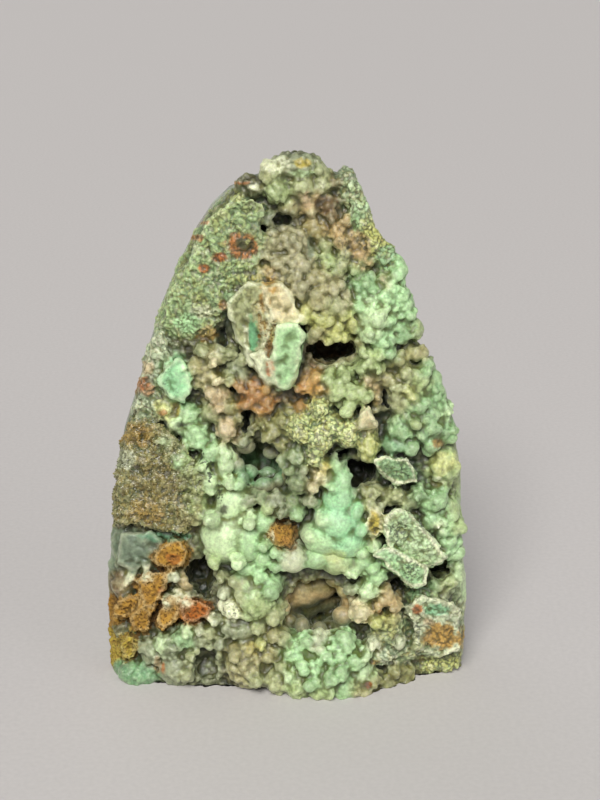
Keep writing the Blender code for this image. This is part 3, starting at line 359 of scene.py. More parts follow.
# Smaller rounded lumps that the solids leave out: across, up, stand-out, radius, kind, tone
SMALL_LUMPS = (
    (-14, 160.5, 3, 3.2, "grain", "yellow_green"), (-9.5, 160, 4.5, 2.8, "grain", "ochre_yellow"),
    (-5, 160.5, 5, 2.6, "grain", "olive_cream"), (11.5, 199, 3, 2.4, "bead", "sage"),
    (16.5, 194.5, 1, 2.4, "bead", "brown"), (6.5, 188.5, 2.6, 1.9, "smooth", "pink_cream"),
    (9, 184, 2.4, 1.8, "smooth", "cream"), (10.5, 189.5, 2, 1.6, "smooth", "tan_pink"),
    (15, 182.5, 2, 2.2, "bead", "brown"), (20.5, 181, 2, 2.4, "bead", "tan"),
    (18.5, 174, 2.4, 2.8, "bead", "tan_pink"), (13.5, 172, 2, 2.6, "bead", "sage"),
    (19, 164.5, 3, 3, "bead", "sage"), (15.5, 166, 3, 2.4, "bead", "sage_green"),
    (24, 163.5, 2.5, 2.6, "bead", "sage_green"), (-7.5, 168.5, 3, 2.6, "bead", "grey_cream"),
    (-9, 163, 3, 2.4, "bead", "olive_cream"), (-5.5, 163, 4, 2.4, "bead", "tan"),
    (20.5, 152.5, 7.5, 3, "bead", "grey_cream"), (12.5, 157.5, 8, 2.8, "bead", "olive_cream"),
    (2.5, 161.5, 7, 2.6, "bead", "grey_cream"), (15, 138.5, 5.5, 2.4, "bead", "primrose"),
    (9.5, 139.5, 4.5, 2.4, "bead", "olive_cream"), (20.5, 138.8, 5, 2.4, "bead", "yellow_green"),
    (34, 160, 4, 1.7, "smooth", "pink_cream"), (25, 151, 6.5, 3, "smooth", "mint"),
    (29, 141.5, 9.5, 3.2, "smooth", "pale_mint"), (25.5, 137, 3.5, 2.4, "bead", "olive"),
    (36.5, 145, 5, 3.4, "fine", "mint"), (36, 133.5, 4.5, 3, "fine", "mint_green"),
    (26.5, 127.5, 6, 2.6, "bead", "sage_green"), (32.5, 127.5, 5.5, 2.4, "bead", "sage_green"),
    (32.8, 132.5, 6.2, 2.4, "bead", "sage_green"), (27, 133.5, 6.2, 2.4, "bead", "sage_green"),
    (15, 123.5, 5, 3, "fine", "sage_green"), (20.5, 125, 5, 2.8, "fine", "sage_green"),
    (22, 112.5, 7, 3, "fine", "sage_green"), (28.5, 117, 7, 2.4, "fine", "sage_green"),
    (28.5, 123.5, 3.6, 2.4, "bead", "pink_cream"), (33, 116, 3, 2.6, "bead", "tan"),
    (32.5, 125, 3.2, 2.4, "bead", "olive_cream"), (39.5, 120.5, 4.2, 3, "bead", "sage"),
    (42.5, 125.5, 3.6, 3, "bead", "sage"), (44.5, 117, 5.2, 2.8, "smooth", "primrose"),
    (43.5, 120, 5, 2, "smooth", "primrose"), (50, 127, 1.8, 3.2, "fine", "mint_green"),
    (57.5, 110, 1.5, 2.8, "fine", "pale_mint"), (46, 107.5, 5.4, 3, "fine", "sage_green"),
    (52.5, 97.5, 3.4, 3.4, "fine", "mint_green"), (44.5, 96.5, 3.4, 3.4, "fine", "mint_green"),
    (13.5, 126.5, -1.5, 3, "bead", "brown"), (7, 126, -1, 2.6, "bead", "brown"),
    (10.5, 124, 3.2, 2.4, "smooth", "light_orange"), (4, 119.8, 3.4, 2.2, "smooth", "orange"),
    (12.5, 120, 3.4, 2.4, "smooth", "light_orange"), (4.5, 112.5, 4.2, 1.9, "smooth", "orange"),
    (-3.5, 120, 1, 2.6, "bead", "brown"), (-16.5, 120.5, 4, 2.6, "smooth", "orange"),
    (-15, 113.5, 4.6, 2.8, "smooth", "orange"), (-10.5, 111.5, 4.6, 2.4, "smooth", "light_orange"),
    (-7.5, 120.5, 5, 2.6, "smooth", "light_orange"), (-30, 134, 3.2, 2.6, "bead", "sage"),
    (-26, 130.5, 4, 2.6, "bead", "cream"), (-20, 132.5, 3.6, 2.6, "bead", "sage"),
    (-32.5, 127.5, 3, 2.6, "bead", "olive_cream"), (-20.5, 123, 2.6, 3, "bead", "sage"),
    (-15.5, 124, 2, 2.6, "bead", "grey_green"), (-16, 130.5, 2.2, 2.4, "bead", "sage"),
    (-24.5, 122.5, 4.4, 2.4, "bead", "cream"), (-27, 118, 3.6, 2.2, "bead", "pink_cream"),
    (-24.5, 112.5, 4.4, 2.4, "bead", "pink_cream"), (-17.5, 108, 1.6, 2.8, "bead", "olive"),
    (-13.5, 103, 0.5, 2.8, "bead", "olive"), (-16, 98.5, 1, 3, "bead", "grey_green"),
    (-7, 101, 3.6, 2.6, "bead", "olive"), (-1.5, 107, 3.2, 2.6, "bead", "olive"),
    (-2, 91.5, 2.6, 2.6, "bead", "dull_green"), (0.5, 88.5, 4.6, 2.6, "bead", "dull_green"),
    (6, 88.5, 4.6, 2.6, "bead", "grey_green"), (-14, 76, 3.2, 2.8, "bead", "grey_green"),
    (-7.5, 73, 4, 2.8, "bead", "sage_green"), (-2, 71.5, 4.4, 2.8, "bead", "grey_green"),
    (3.5, 71, 4.4, 2.8, "bead", "mint_green"), (8.5, 76, 4, 3.2, "bead", "grey_green"),
    (9.5, 82, 4.6, 2.8, "bead", "cream"), (14, 90, 5.2, 2, "smooth", "ochre_yellow"),
    (16, 82.5, 7, 2.6, "smooth", "mint"), (25, 73, 7, 3.4, "smooth", "bright_mint"),
    (12.5, 69.5, 7.6, 3.6, "smooth", "pale_mint"), (27, 66, 8, 3.6, "smooth", "bright_mint"),
    (8, 62.5, 6.4, 3.6, "smooth", "pale_mint"), (28, 79.5, 2, 3, "bead", "olive"),
    (24, 80, 2.6, 2.6, "bead", "grey_green"), (32, 79.5, 4, 2.4, "bead", "sage"),
    (30, 75.5, 5.6, 3, "bead", "sage"), (33.5, 73.5, 6.4, 2.4, "bead", "pale_grey"),
    (40, 78.5, 5.8, 3, "bead", "sage"), (47.5, 79, 5, 3, "bead", "mint_green"),
    (56, 76.5, 3, 3.4, "fine", "mint_green"), (55.5, 66, 5, 1.6, "smooth", "white"),
    (62.5, 65.5, 1, 3, "fine", "sage_green"), (62, 53.5, 0, 3, "fine", "mint_green"),
    (61.5, 42, -1, 2.4, "bead", "sage"), (54, 38, 0, 2.4, "bead", "sage"),
    (57.5, 36, 0.5, 2.2, "bead", "grey_green"), (57, 41, -0.5, 2, "bead", "sage"),
    (27.5, 56, 6.5, 3, "smooth", "pale_mint"), (32, 58, 6, 3, "smooth", "pale_mint"),
    (31.5, 49.5, 6.6, 3, "smooth", "mint"), (24, 48, 5.6, 3, "bead", "pale_mint"),
    (23, 40, 2, 2, "bead", "grey_green"), (40, 33.5, 3.6, 2.6, "bead", "tan"),
    (34, 33, 4.6, 2, "bead", "tan"), (36.5, 40, 3, 2.4, "bead", "tan"),
    (-38.5, 92.5, 4.6, 3.4, "fine", "mint"), (-43.5, 99.5, 3.8, 3.2, "fine", "pale_mint"),
    (-21.5, 83.5, 5.4, 3, "fine", "pale_mint"), (-17.5, 82.5, 4, 2.8, "fine", "mint"),
    (-30.5, 90, 4.6, 3, "fine", "pale_mint"), (-15, 86, 0, 3.4, "bead", "teal"),
    (-14, 68.5, 6, 3, "fine", "pale_mint"), (-27.5, 69, 6, 3.4, "fine", "pale_mint"),
    (-18, 53, 6.6, 3.2, "fine", "pale_mint"), (-27, 52.5, 6, 3, "fine", "sage_green"),
    (-8.5, 59, 5.4, 3, "fine", "mint"), (-3.5, 56, 4.6, 2.8, "fine", "mint"),
    (-4, 49.5, 3.6, 2.6, "bead", "mint_green"), (-10.5, 45.5, 3.4, 2.6, "bead", "mint"),
    (-24.5, 44.5, 3, 2.4, "bead", "sage"), (-24, 38.5, 3, 2.6, "bead", "pale_grey"),
    (-27, 26.5, 2.6, 2.6, "bead", "grey_green"), (-29.5, 21.5, 2.2, 2.8, "bead", "sage"),
    (-25, 17.5, 3, 2.6, "bead", "grey_green"), (-11, 24.5, 5.4, 3, "bead", "sage"),
    (-5, 22, 4.6, 3, "bead", "olive_cream"), (-9.5, 18.5, 6, 2.8, "bead", "yellow_green"),
    (-2, 9, 7, 3.2, "bead", "sage"), (-2.5, 20, 5.4, 2.8, "fine", "sage"),
    (7, 20, 6.4, 3, "fine", "mint"), (22, 18.5, 7, 3.2, "fine", "mint"),
    (14.5, 14, 9, 3, "fine", "mint"), (6, 10, 10, 3, "fine", "mint"),
    (29.5, 13.5, 6.6, 3, "fine", "pale_mint"), (21, 7, 10, 3.4, "fine", "mint_green"),
    (0.5, 6, 9.6, 3, "bead", "pale_mint"), (9, 3.5, 12, 3.4, "fine", "mint_green"),
    (17, 5, 12, 3.4, "fine", "mint_green"), (25.5, 0.5, 10, 3, "bead", "olive_cream"),
    (32.5, 2.5, 7.4, 2.6, "bead", "olive"), (41, 6.5, 3.6, 3, "bead", "olive"),
    (-20, 13.5, 7, 3, "bead", "olive_cream"), (-11.5, 3, 7, 3.4, "bead", "sage"),
    (-35.5, 12, 2.6, 2.8, "bead", "sage"), (-38, 4, 2.4, 3.2, "bead", "sage"),
    (-47.5, 17.5, 3, 2.8, "bead", "pale_mint"), (-54, 16, 1, 2.6, "bead", "grey_green"),
    (-58.5, 44.5, 2.4, 1.8, "smooth", "white"), (-60.5, 42, 1.6, 1.6, "smooth", "cream"),
    (-52, 46.5, 3.6, 1.6, "smooth", "white"), (-42, 45, 2.6, 2.4, "bead", "pale_grey"),
    (-40.5, 37.5, 3, 1.8, "bead", "white"), (-37.5, 36.5, 3.6, 1.6, "bead", "white"),
    (-45, 35.5, 4, 1.6, "bead", "white"), (-33, 23, 3.2, 2, "bead", "pale_grey"),
    (-38, 22.5, 3.6, 2.2, "bead", "pale_mint"), (-29, 28, 3, 1.8, "bead", "white"),
    (49, 17.5, 4.4, 2.6, "bead", "sage"), (55, 41, 0, 2.6, "bead", "mint_green"),
    (60, 42.5, -1.5, 2.8, "bead", "sage_green"), (42, 19, 4.6, 2.6, "bead", "pale_grey"),
    (33.5, 27, 5.6, 2.8, "bead", "yellow_green"), (39, 28.5, 4.6, 2.6, "bead", "olive_cream"),
    (32.5, 18.5, 6, 2.6, "bead", "pale_grey"),
)

# Holes that run back along the line of sight: across, up and depth of the
# middle, half width, half height, half length and tone of the wall
Hollow = namedtuple("Hollow", "across up depth half_width half_height half_length tone")

LOWER_HOLLOW = Hollow(10.5, 33.5, -15.0, 12.6, 11.2, 17.0, "olive")
CENTRAL_HOLLOW = Hollow(-9.5, 90.5, -12.0, 10.0, 9.6, 13.0, "olive")
SMALL_HOLLOWS = {
    "black_cavity": Hollow(26.0, 87.0, -14.0, 6.6, 8.0, 13.0, "dark"),
    "cave_under_grapes": Hollow(15.5, 133.5, -9.0, 10.5, 5.4, 12.0, "brown"),
    "left_recess": Hollow(-32.0, 44.5, -18.0, 6.6, 8.5, 11.0, "dark_olive"),
    "right_cavity": Hollow(56.0, 46.8, -16.0, 4.6, 3.8, 9.0, "dark_olive"),
    "gap_right_of_knob_ball": Hollow(41.0, 41.0, -20.0, 4.2, 4.0, 9.0, "dark_olive"),
    "base_notch": Hollow(-31.0, 5.5, -31.0, 5.4, 7.0, 9.5, "grey_green"),
    "hole_behind_grapes": Hollow(-2.0, 180.5, -8.0, 3.6, 2.0, 7.0, "dark"),
    "hole_by_plate": Hollow(-9.0, 177.0, -9.0, 2.0, 2.2, 6.0, "dark"),
    "under_cauliflower": Hollow(20.5, 92.5, -17.0, 5.5, 2.4, 9.0, "dark"),
    "slit_in_sage": Hollow(35.5, 113.0, -18.0, 1.8, 5.0, 8.0, "dark"),
    "gap_left_of_projection": Hollow(-22.0, 138.0, -14.0, 2.2, 4.0, 7.0, "dark"),
    "gap_below_orange": Hollow(-14.5, 107.0, -15.0, 2.6, 5.5, 8.0, "dark"),
}

# Coloured patches in the stone: across, up, reach across, reach up, tone, strength
PATCHES = (
    (-1, 200, 2.6, 3, "white", 0.55), (5.5, 200.5, 3, 1.8, "ochre_yellow", 0.8),
    (5.5, 197, 4.5, 1.3, "pale_mint", 0.8), (12.5, 193, 1.2, 1, "white", 0.9),
    (-15.5, 194.5, 2.6, 1.6, "rust", 0.8), (-10, 192, 3.2, 1.2, "white", 0.95),
    (-18, 189, 3, 2.4, "yellow_green", 0.7), (29, 175, 2.6, 7, "yellow_green", 0.8),
    (24, 180.5, 1.6, 4.5, "mint", 0.8), (22, 193, 2.2, 2.6, "pale_mint", 0.6),
    (7, 187.5, 1.6, 3.2, "pink_cream", 0.8), (13, 186, 3.2, 3, "brown", 0.7),
    (25.5, 171.5, 4.2, 5, "tan_pink", 0.85), (21.5, 170.5, 0.9, 0.8, "dark", 0.9),
    (27.5, 170.5, 0.8, 0.8, "dark", 0.9), (25, 173, 0.7, 0.7, "dark", 0.8),
    (23, 167.5, 0.7, 0.6, "dark", 0.8), (8.5, 171, 1.6, 4, "teal_grey", 0.7),
    (-15.5, 171.5, 5.4, 4.6, "rust", 0.9), (-14.8, 171.9, 3.1, 2.7, "dark_olive", 0.95),
    (-13.6, 172.4, 1.2, 1.2, "primrose", 0.8), (-23.5, 167, 2.8, 2.2, "rust", 0.95),
    (-29, 163, 2, 2, "rust", 0.95), (-30, 174, 1.2, 1.2, "rust", 0.8),
    (-28, 180, 1.2, 1.2, "rust", 0.8), (-24, 182.5, 3.2, 3, "yellow_green", 0.5),
    (-14.5, 161.5, 5, 0.8, "dark", 0.85), (-30, 147, 5, 2.6, "white", 0.75),
    (-35, 143, 4.6, 4, "mint", 0.95), (-28, 139, 4, 3, "ochre", 0.75),
    (-22.5, 149.5, 1.6, 2.2, "rust", 0.7), (-20.5, 153, 2.2, 2.6, "deep_mint", 0.6),
    (-31, 152, 3, 3, "yellow_green", 0.6), (-12, 138.5, 2.5, 6.4, "emerald", 0.75),
    (-14.3, 136, 1, 8.5, "white", 0.8), (-6, 156.5, 3.4, 3.2, "ochre", 0.9),
    (-7.5, 151, 2.4, 4, "ochre", 0.9), (-6.5, 133, 1.7, 3.2, "brown", 0.85),
    (-6, 126.5, 1.6, 3.4, "rust", 0.9), (-10, 127, 1.2, 6, "white", 0.7),
    (-52, 121, 2.8, 3.2, "rust", 0.85), (-49.5, 117.5, 2.5, 2.5, "rust", 0.7),
    (-49.5, 126.5, 2.4, 3, "pink_cream", 0.8), (-45.5, 112, 2.6, 2.4, "primrose", 0.8),
    (-45, 109, 1.7, 1.3, "orange", 0.85), (-40, 110, 1.6, 3, "ochre_yellow", 0.8),
    (-35, 131, 1.5, 1.6, "dark", 0.85), (-34, 116.5, 1, 2.2, "dark", 0.8),
    (-38.8, 104.3, 2.4, 1, "dark", 0.8), (-59, 91, 3.6, 4.2, "pale_grey", 0.9),
    (-54, 100.5, 5, 4.6, "ochre", 0.6), (-52, 70, 7, 5, "ochre", 0.45),
    (-36, 84, 4.5, 13, "sage_green", 0.45), (-36, 65.5, 5, 4, "olive_cream", 0.7),
    (-48, 83, 8, 9, "olive_brown", 0.5), (-23.5, 71, 1.4, 2, "dark", 0.9),
    (-2.5, 62, 4, 3.6, "ochre", 0.9), (0, 65.8, 1.6, 0.8, "white", 0.8),
    (-5.5, 60, 0.9, 2.4, "white", 0.7), (-0.5, 59, 1.6, 1.6, "light_orange", 0.8),
    (18, 52, 4, 3, "yellow_green", 0.55), (22, 56, 1.2, 1, "deep_mint", 0.8),
    (-45, 60.2, 9, 2.4, "teal", 0.85), (-57, 54.5, 5, 5, "teal_grey", 0.8),
    (-42, 51, 3.2, 2.4, "rust", 0.65), (-47.5, 38, 1.6, 1.6, "rust", 0.6),
    (-49.5, 7, 1.4, 3.6, "pink_cream", 0.85), (-47.5, 5, 1, 2.4, "rust", 0.8),
    (-20.5, 31.5, 3.4, 3.2, "white", 0.6), (-14, 38, 3, 4, "pale_mint", 0.7),
    (-13, 13, 3, 3, "ochre_yellow", 0.4), (32, 65.5, 3, 5.2, "ochre_yellow", 0.9),
    (55, 97, 2.4, 2, "orange", 0.75), (56, 89, 4.4, 5, "primrose", 0.85),
    (55, 82, 2.4, 2, "white", 0.8), (63, 72, 1.3, 2.4, "ochre_yellow", 0.6),
    (48.5, 30, 2.3, 2.1, "rust", 0.95), (56.5, 29.8, 5, 2.6, "emerald", 0.65),
    (58, 19, 6.8, 6, "ochre", 0.95), (53, 25, 2.4, 1.8, "pink_cream", 0.8),
    (37, 23, 6, 6, "yellow_green", 0.5), (34, 14, 3.2, 2.6, "white", 0.6),
    (58.5, 8.5, 6, 2.4, "yellow_green", 0.8), (33, 7.6, 2, 1, "ochre", 0.85),
    (31, -2, 1.5, 1.5, "rust", 0.9), (35, 29, 1.2, 1.2, "orange", 0.8),
    (46, 50, 6, 0.8, "white", 0.5),
)

# Patches dotted with dark grains: across, up, reach across, reach up, strength
SPECKLED = (
    (41, 61, 4.2, 5.6, 0.8), (46, 46.5, 3.6, 4.4, 0.8), (40, 86.5, 6.5, 4, 0.6),
    (-25, 165, 16, 24, 0.4), (-48, 117, 8, 14, 0.5), (-28, 86, 1.7, 6, 1), (-31.5, 92, 1.6, 3.4, 1),
    (-25, 77, 1.8, 4.6, 0.9), (-20.5, 31, 4, 4, 0.9), (58, 19, 7, 6.5, 0.5), (49, 20, 3, 6, 0.7),
    (38, 20, 7, 7, 0.5), (56, 90, 5, 8, 0.5), (52, 104, 9, 8, 0.35), (12, 104, 16, 12, 0.35),
    (24, 172, 8, 8, 0.6),
)

# Cell sizes in millimetres of the skins that join the lumps, and triangles of the finished pieces
LUMP_CELL = 0.9
BEAD_CELL, QUICK_BEAD_CELL = 0.5, 0.8
LINING_CELL = 0.6
BODY_TRIANGLES = LINING_TRIANGLES = 60000
GROWTH_TRIANGLES, QUICK_GROWTH_TRIANGLES = 190000, 90000

# How near the wall of a hollow counts as wall, how much painted shade darkens it below its tone,
# and its grit
WALL_REACH, WALL_PAINTED_SHADE, WALL_GRIT = 2.5, 0.6, 0.2
LINING_LOBES = 0.35

# The flanks take the colours of the front this far inside its seen edges
FLANK_MARGIN = 3.0

# Turn from one lump of a lining to the next, which spreads them evenly
GOLDEN_ANGLE = 2.39996

# Growth pieces: name, lowest and highest height of their part of the stone
GROWTH_BANDS = (
    ("lower_growth", -14.0, 58.0),
    ("middle_growth", 58.0, 131.0),
    ("upper_growth", 131.0, 202.0),
)


def linear_colour(hex_colour):
    """Turn an sRGB hex colour into linear red, green and blue."""
    parts = [int(hex_colour[start:start + 2], 16) / 255 for start in (0, 2, 4)]
    return tuple(
        part / 12.92 if part <= 0.04045 else ((part + 0.055) / 1.055) ** 2.4 for part in parts)


def full_colour(hex_colour):
    """The same with the opaque alpha that nodes ask for."""
    return (*linear_colour(hex_colour), 1.0)


def tone_colour(tone):
    """One of the named tones as linear red, green and blue."""
    return np.array(linear_colour(TONES[tone]))


class SpecimenShape(bpy.types.PropertyGroup):
    """Sizes of the growths on the stone."""

    grape_radius: FloatProperty(
        name="Grape radius", description="Radius of the largest rounded growths",
        default=0.0021, min=0.001, max=0.004, unit="LENGTH", precision=4)
    bead_radius: FloatProperty(
        name="Bead radius", description="Radius of the common rounded growths",
        default=0.0013, min=0.0006, max=0.003, unit="LENGTH", precision=4)
    grain_radius: FloatProperty(
        name="Grain radius", description="Radius of the finest rounded growths",
        default=0.0007, min=0.0004, max=0.002, unit="LENGTH", precision=4)
    lobe_height: FloatProperty(
        name="Lobe height", description="Height of the rounded lobes on the lumps",
        default=0.001, min=0.0, max=0.005, unit="LENGTH", precision=4)
    lobe_width: FloatProperty(
        name="Lobe width", description="Width of one rounded lobe",
        default=0.0046, min=0.001, max=0.01, unit="LENGTH", precision=4)
    grit_height: FloatProperty(
        name="Grit height", description="Height of the small crystal heads that cover the growths",
        default=0.0007, min=0.0, max=0.002, unit="LENGTH", precision=4)
    grit_width: FloatProperty(
        name="Grit width", description="Width of one small crystal head",
        default=0.0015, min=0.0004, max=0.005, unit="LENGTH", precision=4)
    pit_depth: FloatProperty(
        name="Pit depth", description="Depth of the pits in the brown limonite",
        default=0.0009, min=0.0, max=0.003, unit="LENGTH", precision=4)
    pit_width: FloatProperty(
        name="Pit width", description="Distance between the pits in the brown limonite",
        default=0.0017, min=0.0005, max=0.005, unit="LENGTH", precision=4)
    crystal_size: FloatProperty(
        name="Crystal size", description="Length of the small crystals on the olive skin",
        default=0.0009, min=0.0003, max=0.003, unit="LENGTH", precision=4)
    seed: IntProperty(
        name="Seed", description="Changes how the growths are scattered", default=7, min=0)


class SpecimenColours(bpy.types.PropertyGroup):
    """Colours of the stone that are the same all over a piece."""

    polished: FloatVectorProperty(
        name="Polished stone", description="Main colour of the sawn and polished back",
        subtype="COLOR", size=3, min=0.0, max=1.0, default=linear_colour("7F8A69"))
    vein: FloatVectorProperty(
        name="Veins", description="Pale veins in the polished back",
        subtype="COLOR", size=3, min=0.0, max=1.0, default=linear_colour("B4BA9C"))
    limonite: FloatVectorProperty(
        name="Limonite", description="Brown iron stone between the green pieces",
        subtype="COLOR", size=3, min=0.0, max=1.0, default=linear_colour("8A6432"))
    speck: FloatVectorProperty(
        name="Dark grains", description="Dark grains in the speckled pieces",
        subtype="COLOR", size=3, min=0.0, max=1.0, default=linear_colour("2C3524"))


class SpecimenStage(bpy.types.PropertyGroup):
    """Floor, light and camera."""

    main_light: FloatProperty(
        name="Main light",
        description="Strength of the wide soft light above the front, in watts a square metre",
        default=3.25, min=0.0)
    back_light: FloatProperty(
        name="Back light",
        description="Strength of the weak light behind the stone, in watts a square metre",
        default=0.45, min=0.0)
    floor_reach: FloatProperty(
        name="Floor reach", description="Distance from the stone to the edge of the floor",
        default=20.0, min=1.0, unit="LENGTH")
    fill_light: FloatProperty(
        name="Fill light", description="Power of the soft light from the right",
        default=1.6, min=0.0, unit="POWER")
    surroundings: FloatProperty(
        name="Surroundings", description="Strength of the even light from all sides",
        default=0.17, min=0.0)
    floor: FloatVectorProperty(
        name="Floor", description="Colour of the floor",
        subtype="COLOR", size=3, min=0.0, max=1.0, default=linear_colour("C7C3C1"))
    lens: FloatProperty(
        name="Lens", description="Focal length for a picture 36 mm tall",
        default=81.2, min=20.0, max=300.0)


def sighted(across, up, depth):
    """Point at a depth on the line of sight through (across, up) on the layout plane."""
    reach = (depth - EYE.y) / (LAYOUT_DEPTH - EYE.y)
    return Vector((EYE.x + (across - EYE.x) * reach, depth, EYE.z + (up - EYE.z) * reach))


def layout_place(points):
    """Across and up on the layout plane for an array of points."""
    reach = (LAYOUT_DEPTH - EYE.y) / (points[:, 1] - EYE.y)
    return EYE.x + (points[:, 0] - EYE.x) * reach, EYE.z + (points[:, 2] - EYE.z) * reach


def between(at_base, at_top, height, power):
    """Value that changes from the base to the top, slowly at first."""
    share = np.clip(height / HEIGHT, 0.0, 1.0)
    return at_base + (at_top - at_base) * share ** power


def face_depth(across, height):
    """Depth of the mean broken face, which leans back and falls away at the sides."""
    lean = between(FACE_AT_BASE, FACE_AT_TOP, height, 1.3)
    foot = np.interp(across, *zip(*FOOT_SHIFT)) * np.clip(1.0 - height / FOOT_HEIGHT, 0.0, 1.0)
    return lean + foot + FACE_SIDE_ROUNDING * np.abs(across / HALF_WIDTH) ** 3


def body_width(up):
    """Left and right edge of the body at a seen height."""
    heights, lefts, rights = zip(*BODY_STATIONS)
    return np.interp(up, heights, lefts), np.interp(up, heights, rights)


def body_section(up, inset=0.0, proud=0.0, front_only=False):
    """One level outline of the body, counter-clockwise from above."""
    left, right = body_width(up)
    rim = between(RIM_AT_BASE, RIM_AT_TOP, up, 1.2)
    left_rim = sighted(left + inset, up, rim)
    right_rim = sighted(right - inset, up, rim)
    height = left_rim.z
    middle = (left_rim.x + right_rim.x) / 2
    half_width = (right_rim.x - left_rim.x) / 2
    over_crown = max(up - CROWN_START, 0.0) / CROWN_RISE
    behind_rim = between(BACK_AT_BASE, BACK_AT_TOP, height, 2.2) - rim
    back = rim + behind_rim * math.sqrt(1 - over_crown ** 2)
    points = []
    for step in range(SECTION_POINTS):
        angle = 2 * math.pi * step / SECTION_POINTS
        run, rise = math.cos(angle), math.sin(angle)
        squareness = BACK_SQUARENESS if rise > 0 else FRONT_SQUARENESS
        share = math.copysign(abs(run) ** (2 / squareness), run)
        x = middle + half_width * share
        if front_only:
            # The growth overhangs the sawn side a little, further back on the leaning upper sides
            wrapped = float(np.interp(up, (95.0, 130.0), (0.0, 1.0)))
            reach = max(min(abs(rise) / 0.2, 1.0), wrapped)
            x += math.copysign((inset + GROWTH_OVERHANG) * reach, share) * abs(share)
        if rise > 0:
            if front_only:
                continue
            limit = back
        else:
            limit = face_depth(x, height) + BODY_SETBACK * (1 - abs(share) ** 6) - proud
        y = rim + (limit - rim) * abs(rise) ** (2 / squareness)
        points.append(Vector((x, y, height)))
    return points


def station_heights(low, high):
    """Seen heights of the loft's outlines between two heights, a station at each end."""
    kept = [station[0] for station in BODY_STATIONS if low < station[0] < high]
    steps = list(np.arange(math.ceil(low / STATION_STEP) * STATION_STEP, high, STATION_STEP))
    return sorted({round(float(height), 3) for height in kept + steps + [low, high]})


def add_loft(mesh, outlines):
    """Skin a row of level outlines and close both ends."""
    rings = [[mesh.verts.new(point) for point in outline] for outline in outlines]
    count = len(rings[0])
    for lower, upper in zip(rings, rings[1:]):
        for here in range(count):
            after = (here + 1) % count
            mesh.faces.new((lower[here], lower[after], upper[after], upper[here]))
    mesh.faces.new(reversed(rings[0]))
    mesh.faces.new(rings[-1])


def all_lumps():
    """Every lump: across, up, how far it stands out, half width, half height, kind and tone."""
    for (_, kind), rows in LUMPS.items():
        for *form, tone in rows:
            yield *form, kind, tone
    for across, up, stand_out, radius, kind, tone in SMALL_LUMPS:
        yield across, up, stand_out, radius, radius, kind, tone


def lump_form(across, up, stand_out, half_width, half_height):
    """Middle and half sizes of a rounded lump whose back is in the body."""
    half_depth = max((half_width + half_height) / 2, LUMP_ROOT * (stand_out + BODY_SETBACK))
    front = float(face_depth(across, up)) - stand_out
    return sighted(across, up, front + half_depth), Vector((half_width, half_depth, half_height))


def add_ball(mesh, centre, size, fineness=3, turn=None):
    """Add a ball stretched to the three half sizes."""
    turn = turn or Matrix.Identity(4)
    place = Matrix.Translation(centre) @ turn @ Matrix.Diagonal((*size, 1.0))
    bmesh.ops.create_icosphere(mesh, subdivisions=fineness, radius=1.0, matrix=place)


def fragment_middle(fragment):
    """Middle of a fragment's outline and the depth of its face there."""
    across = sum(point[0] for point in fragment.outline) / len(fragment.outline)
    up = sum(point[1] for point in fragment.outline) / len(fragment.outline)
    return across, up, float(face_depth(across, up)) - fragment.stand_out


def add_fragment(mesh, fragment):
    """Add an angular piece: a flat face with a narrow chamfer, run back into the stone."""
    middle_across, middle_up, front = fragment_middle(fragment)
    rings = ((0.95, 0.0), (1.0, 0.7), (0.9, fragment.thickness))
    corners = []
    for size, set_back in rings:
        for across, up in fragment.outline:
            off_across = (across - middle_across) * size
            off_up = (up - middle_up) * size
            slope = off_across * fragment.slope_across + off_up * fragment.slope_up
            depth = front + set_back - slope
            corner = sighted(middle_across + off_across, middle_up + off_up, depth)
            corners.append(mesh.verts.new(corner))
    hull = bmesh.ops.convex_hull(mesh, input=corners)
    inner = [item for item in hull["geom_interior"] if isinstance(item, bmesh.types.BMVert)]
    bmesh.ops.delete(mesh, geom=inner, context="VERTS")


def hollow_place(hollow):
    """Middle of a hollow, the direction in which it runs back and its turn."""
    centre = sighted(hollow.across, hollow.up, hollow.depth)
    direction = (centre - EYE).normalized()
    return centre, direction, direction.to_track_quat("Y", "Z").to_matrix().to_4x4()


def hollow_size(hollow, shrink=0.0):
    """Half width, half length and half height of a hollow."""
    return (hollow.half_width - shrink, hollow.half_length - shrink, hollow.half_height - shrink)


def all_hollows():
    """Every hollow of the stone."""
    return (LOWER_HOLLOW, CENTRAL_HOLLOW, *SMALL_HOLLOWS.values())


def new_object(name, fill):
    """Make an object from a bmesh that a function fills in millimetres."""
    work = bmesh.new()
    fill(work)
    work.transform(Matrix.Scale(MM, 4) @ Matrix.Translation(SLIDE))
    mesh = bpy.data.meshes.new(name)
    work.to_mesh(mesh)
    work.free()
    made = bpy.data.objects.new(name, mesh)
    bpy.context.scene.collection.objects.link(made)
    return made


def apply_modifiers(made):
    """Replace an object's mesh with the result of its modifiers."""
    bpy.context.view_layer.update()
    graph = bpy.context.evaluated_depsgraph_get()
    mesh = bpy.data.meshes.new_from_object(made.evaluated_get(graph))
    made.modifiers.clear()
    made.data = mesh


def join_skin(made, voxel, rounds=0):
    """Join everything in an object into one skin, and smooth it for some rounds."""
    remesh = made.modifiers.new("join", "REMESH")
    remesh.mode = "VOXEL"
    remesh.voxel_size = voxel * MM
    if rounds:
        smooth = made.modifiers.new("soften", "SMOOTH")
        smooth.factor = 0.5
        smooth.iterations = rounds
    apply_modifiers(made)


def take_out(made, fill):
    """Cut the form that a function fills out of an object."""
    cutter = new_object("cutter", fill)
    boolean = made.modifiers.new("cut", "BOOLEAN")
    boolean.operation = "DIFFERENCE"
    boolean.solver = "MANIFOLD"
    boolean.object = cutter
    apply_modifiers(made)
    bpy.data.objects.remove(cutter)


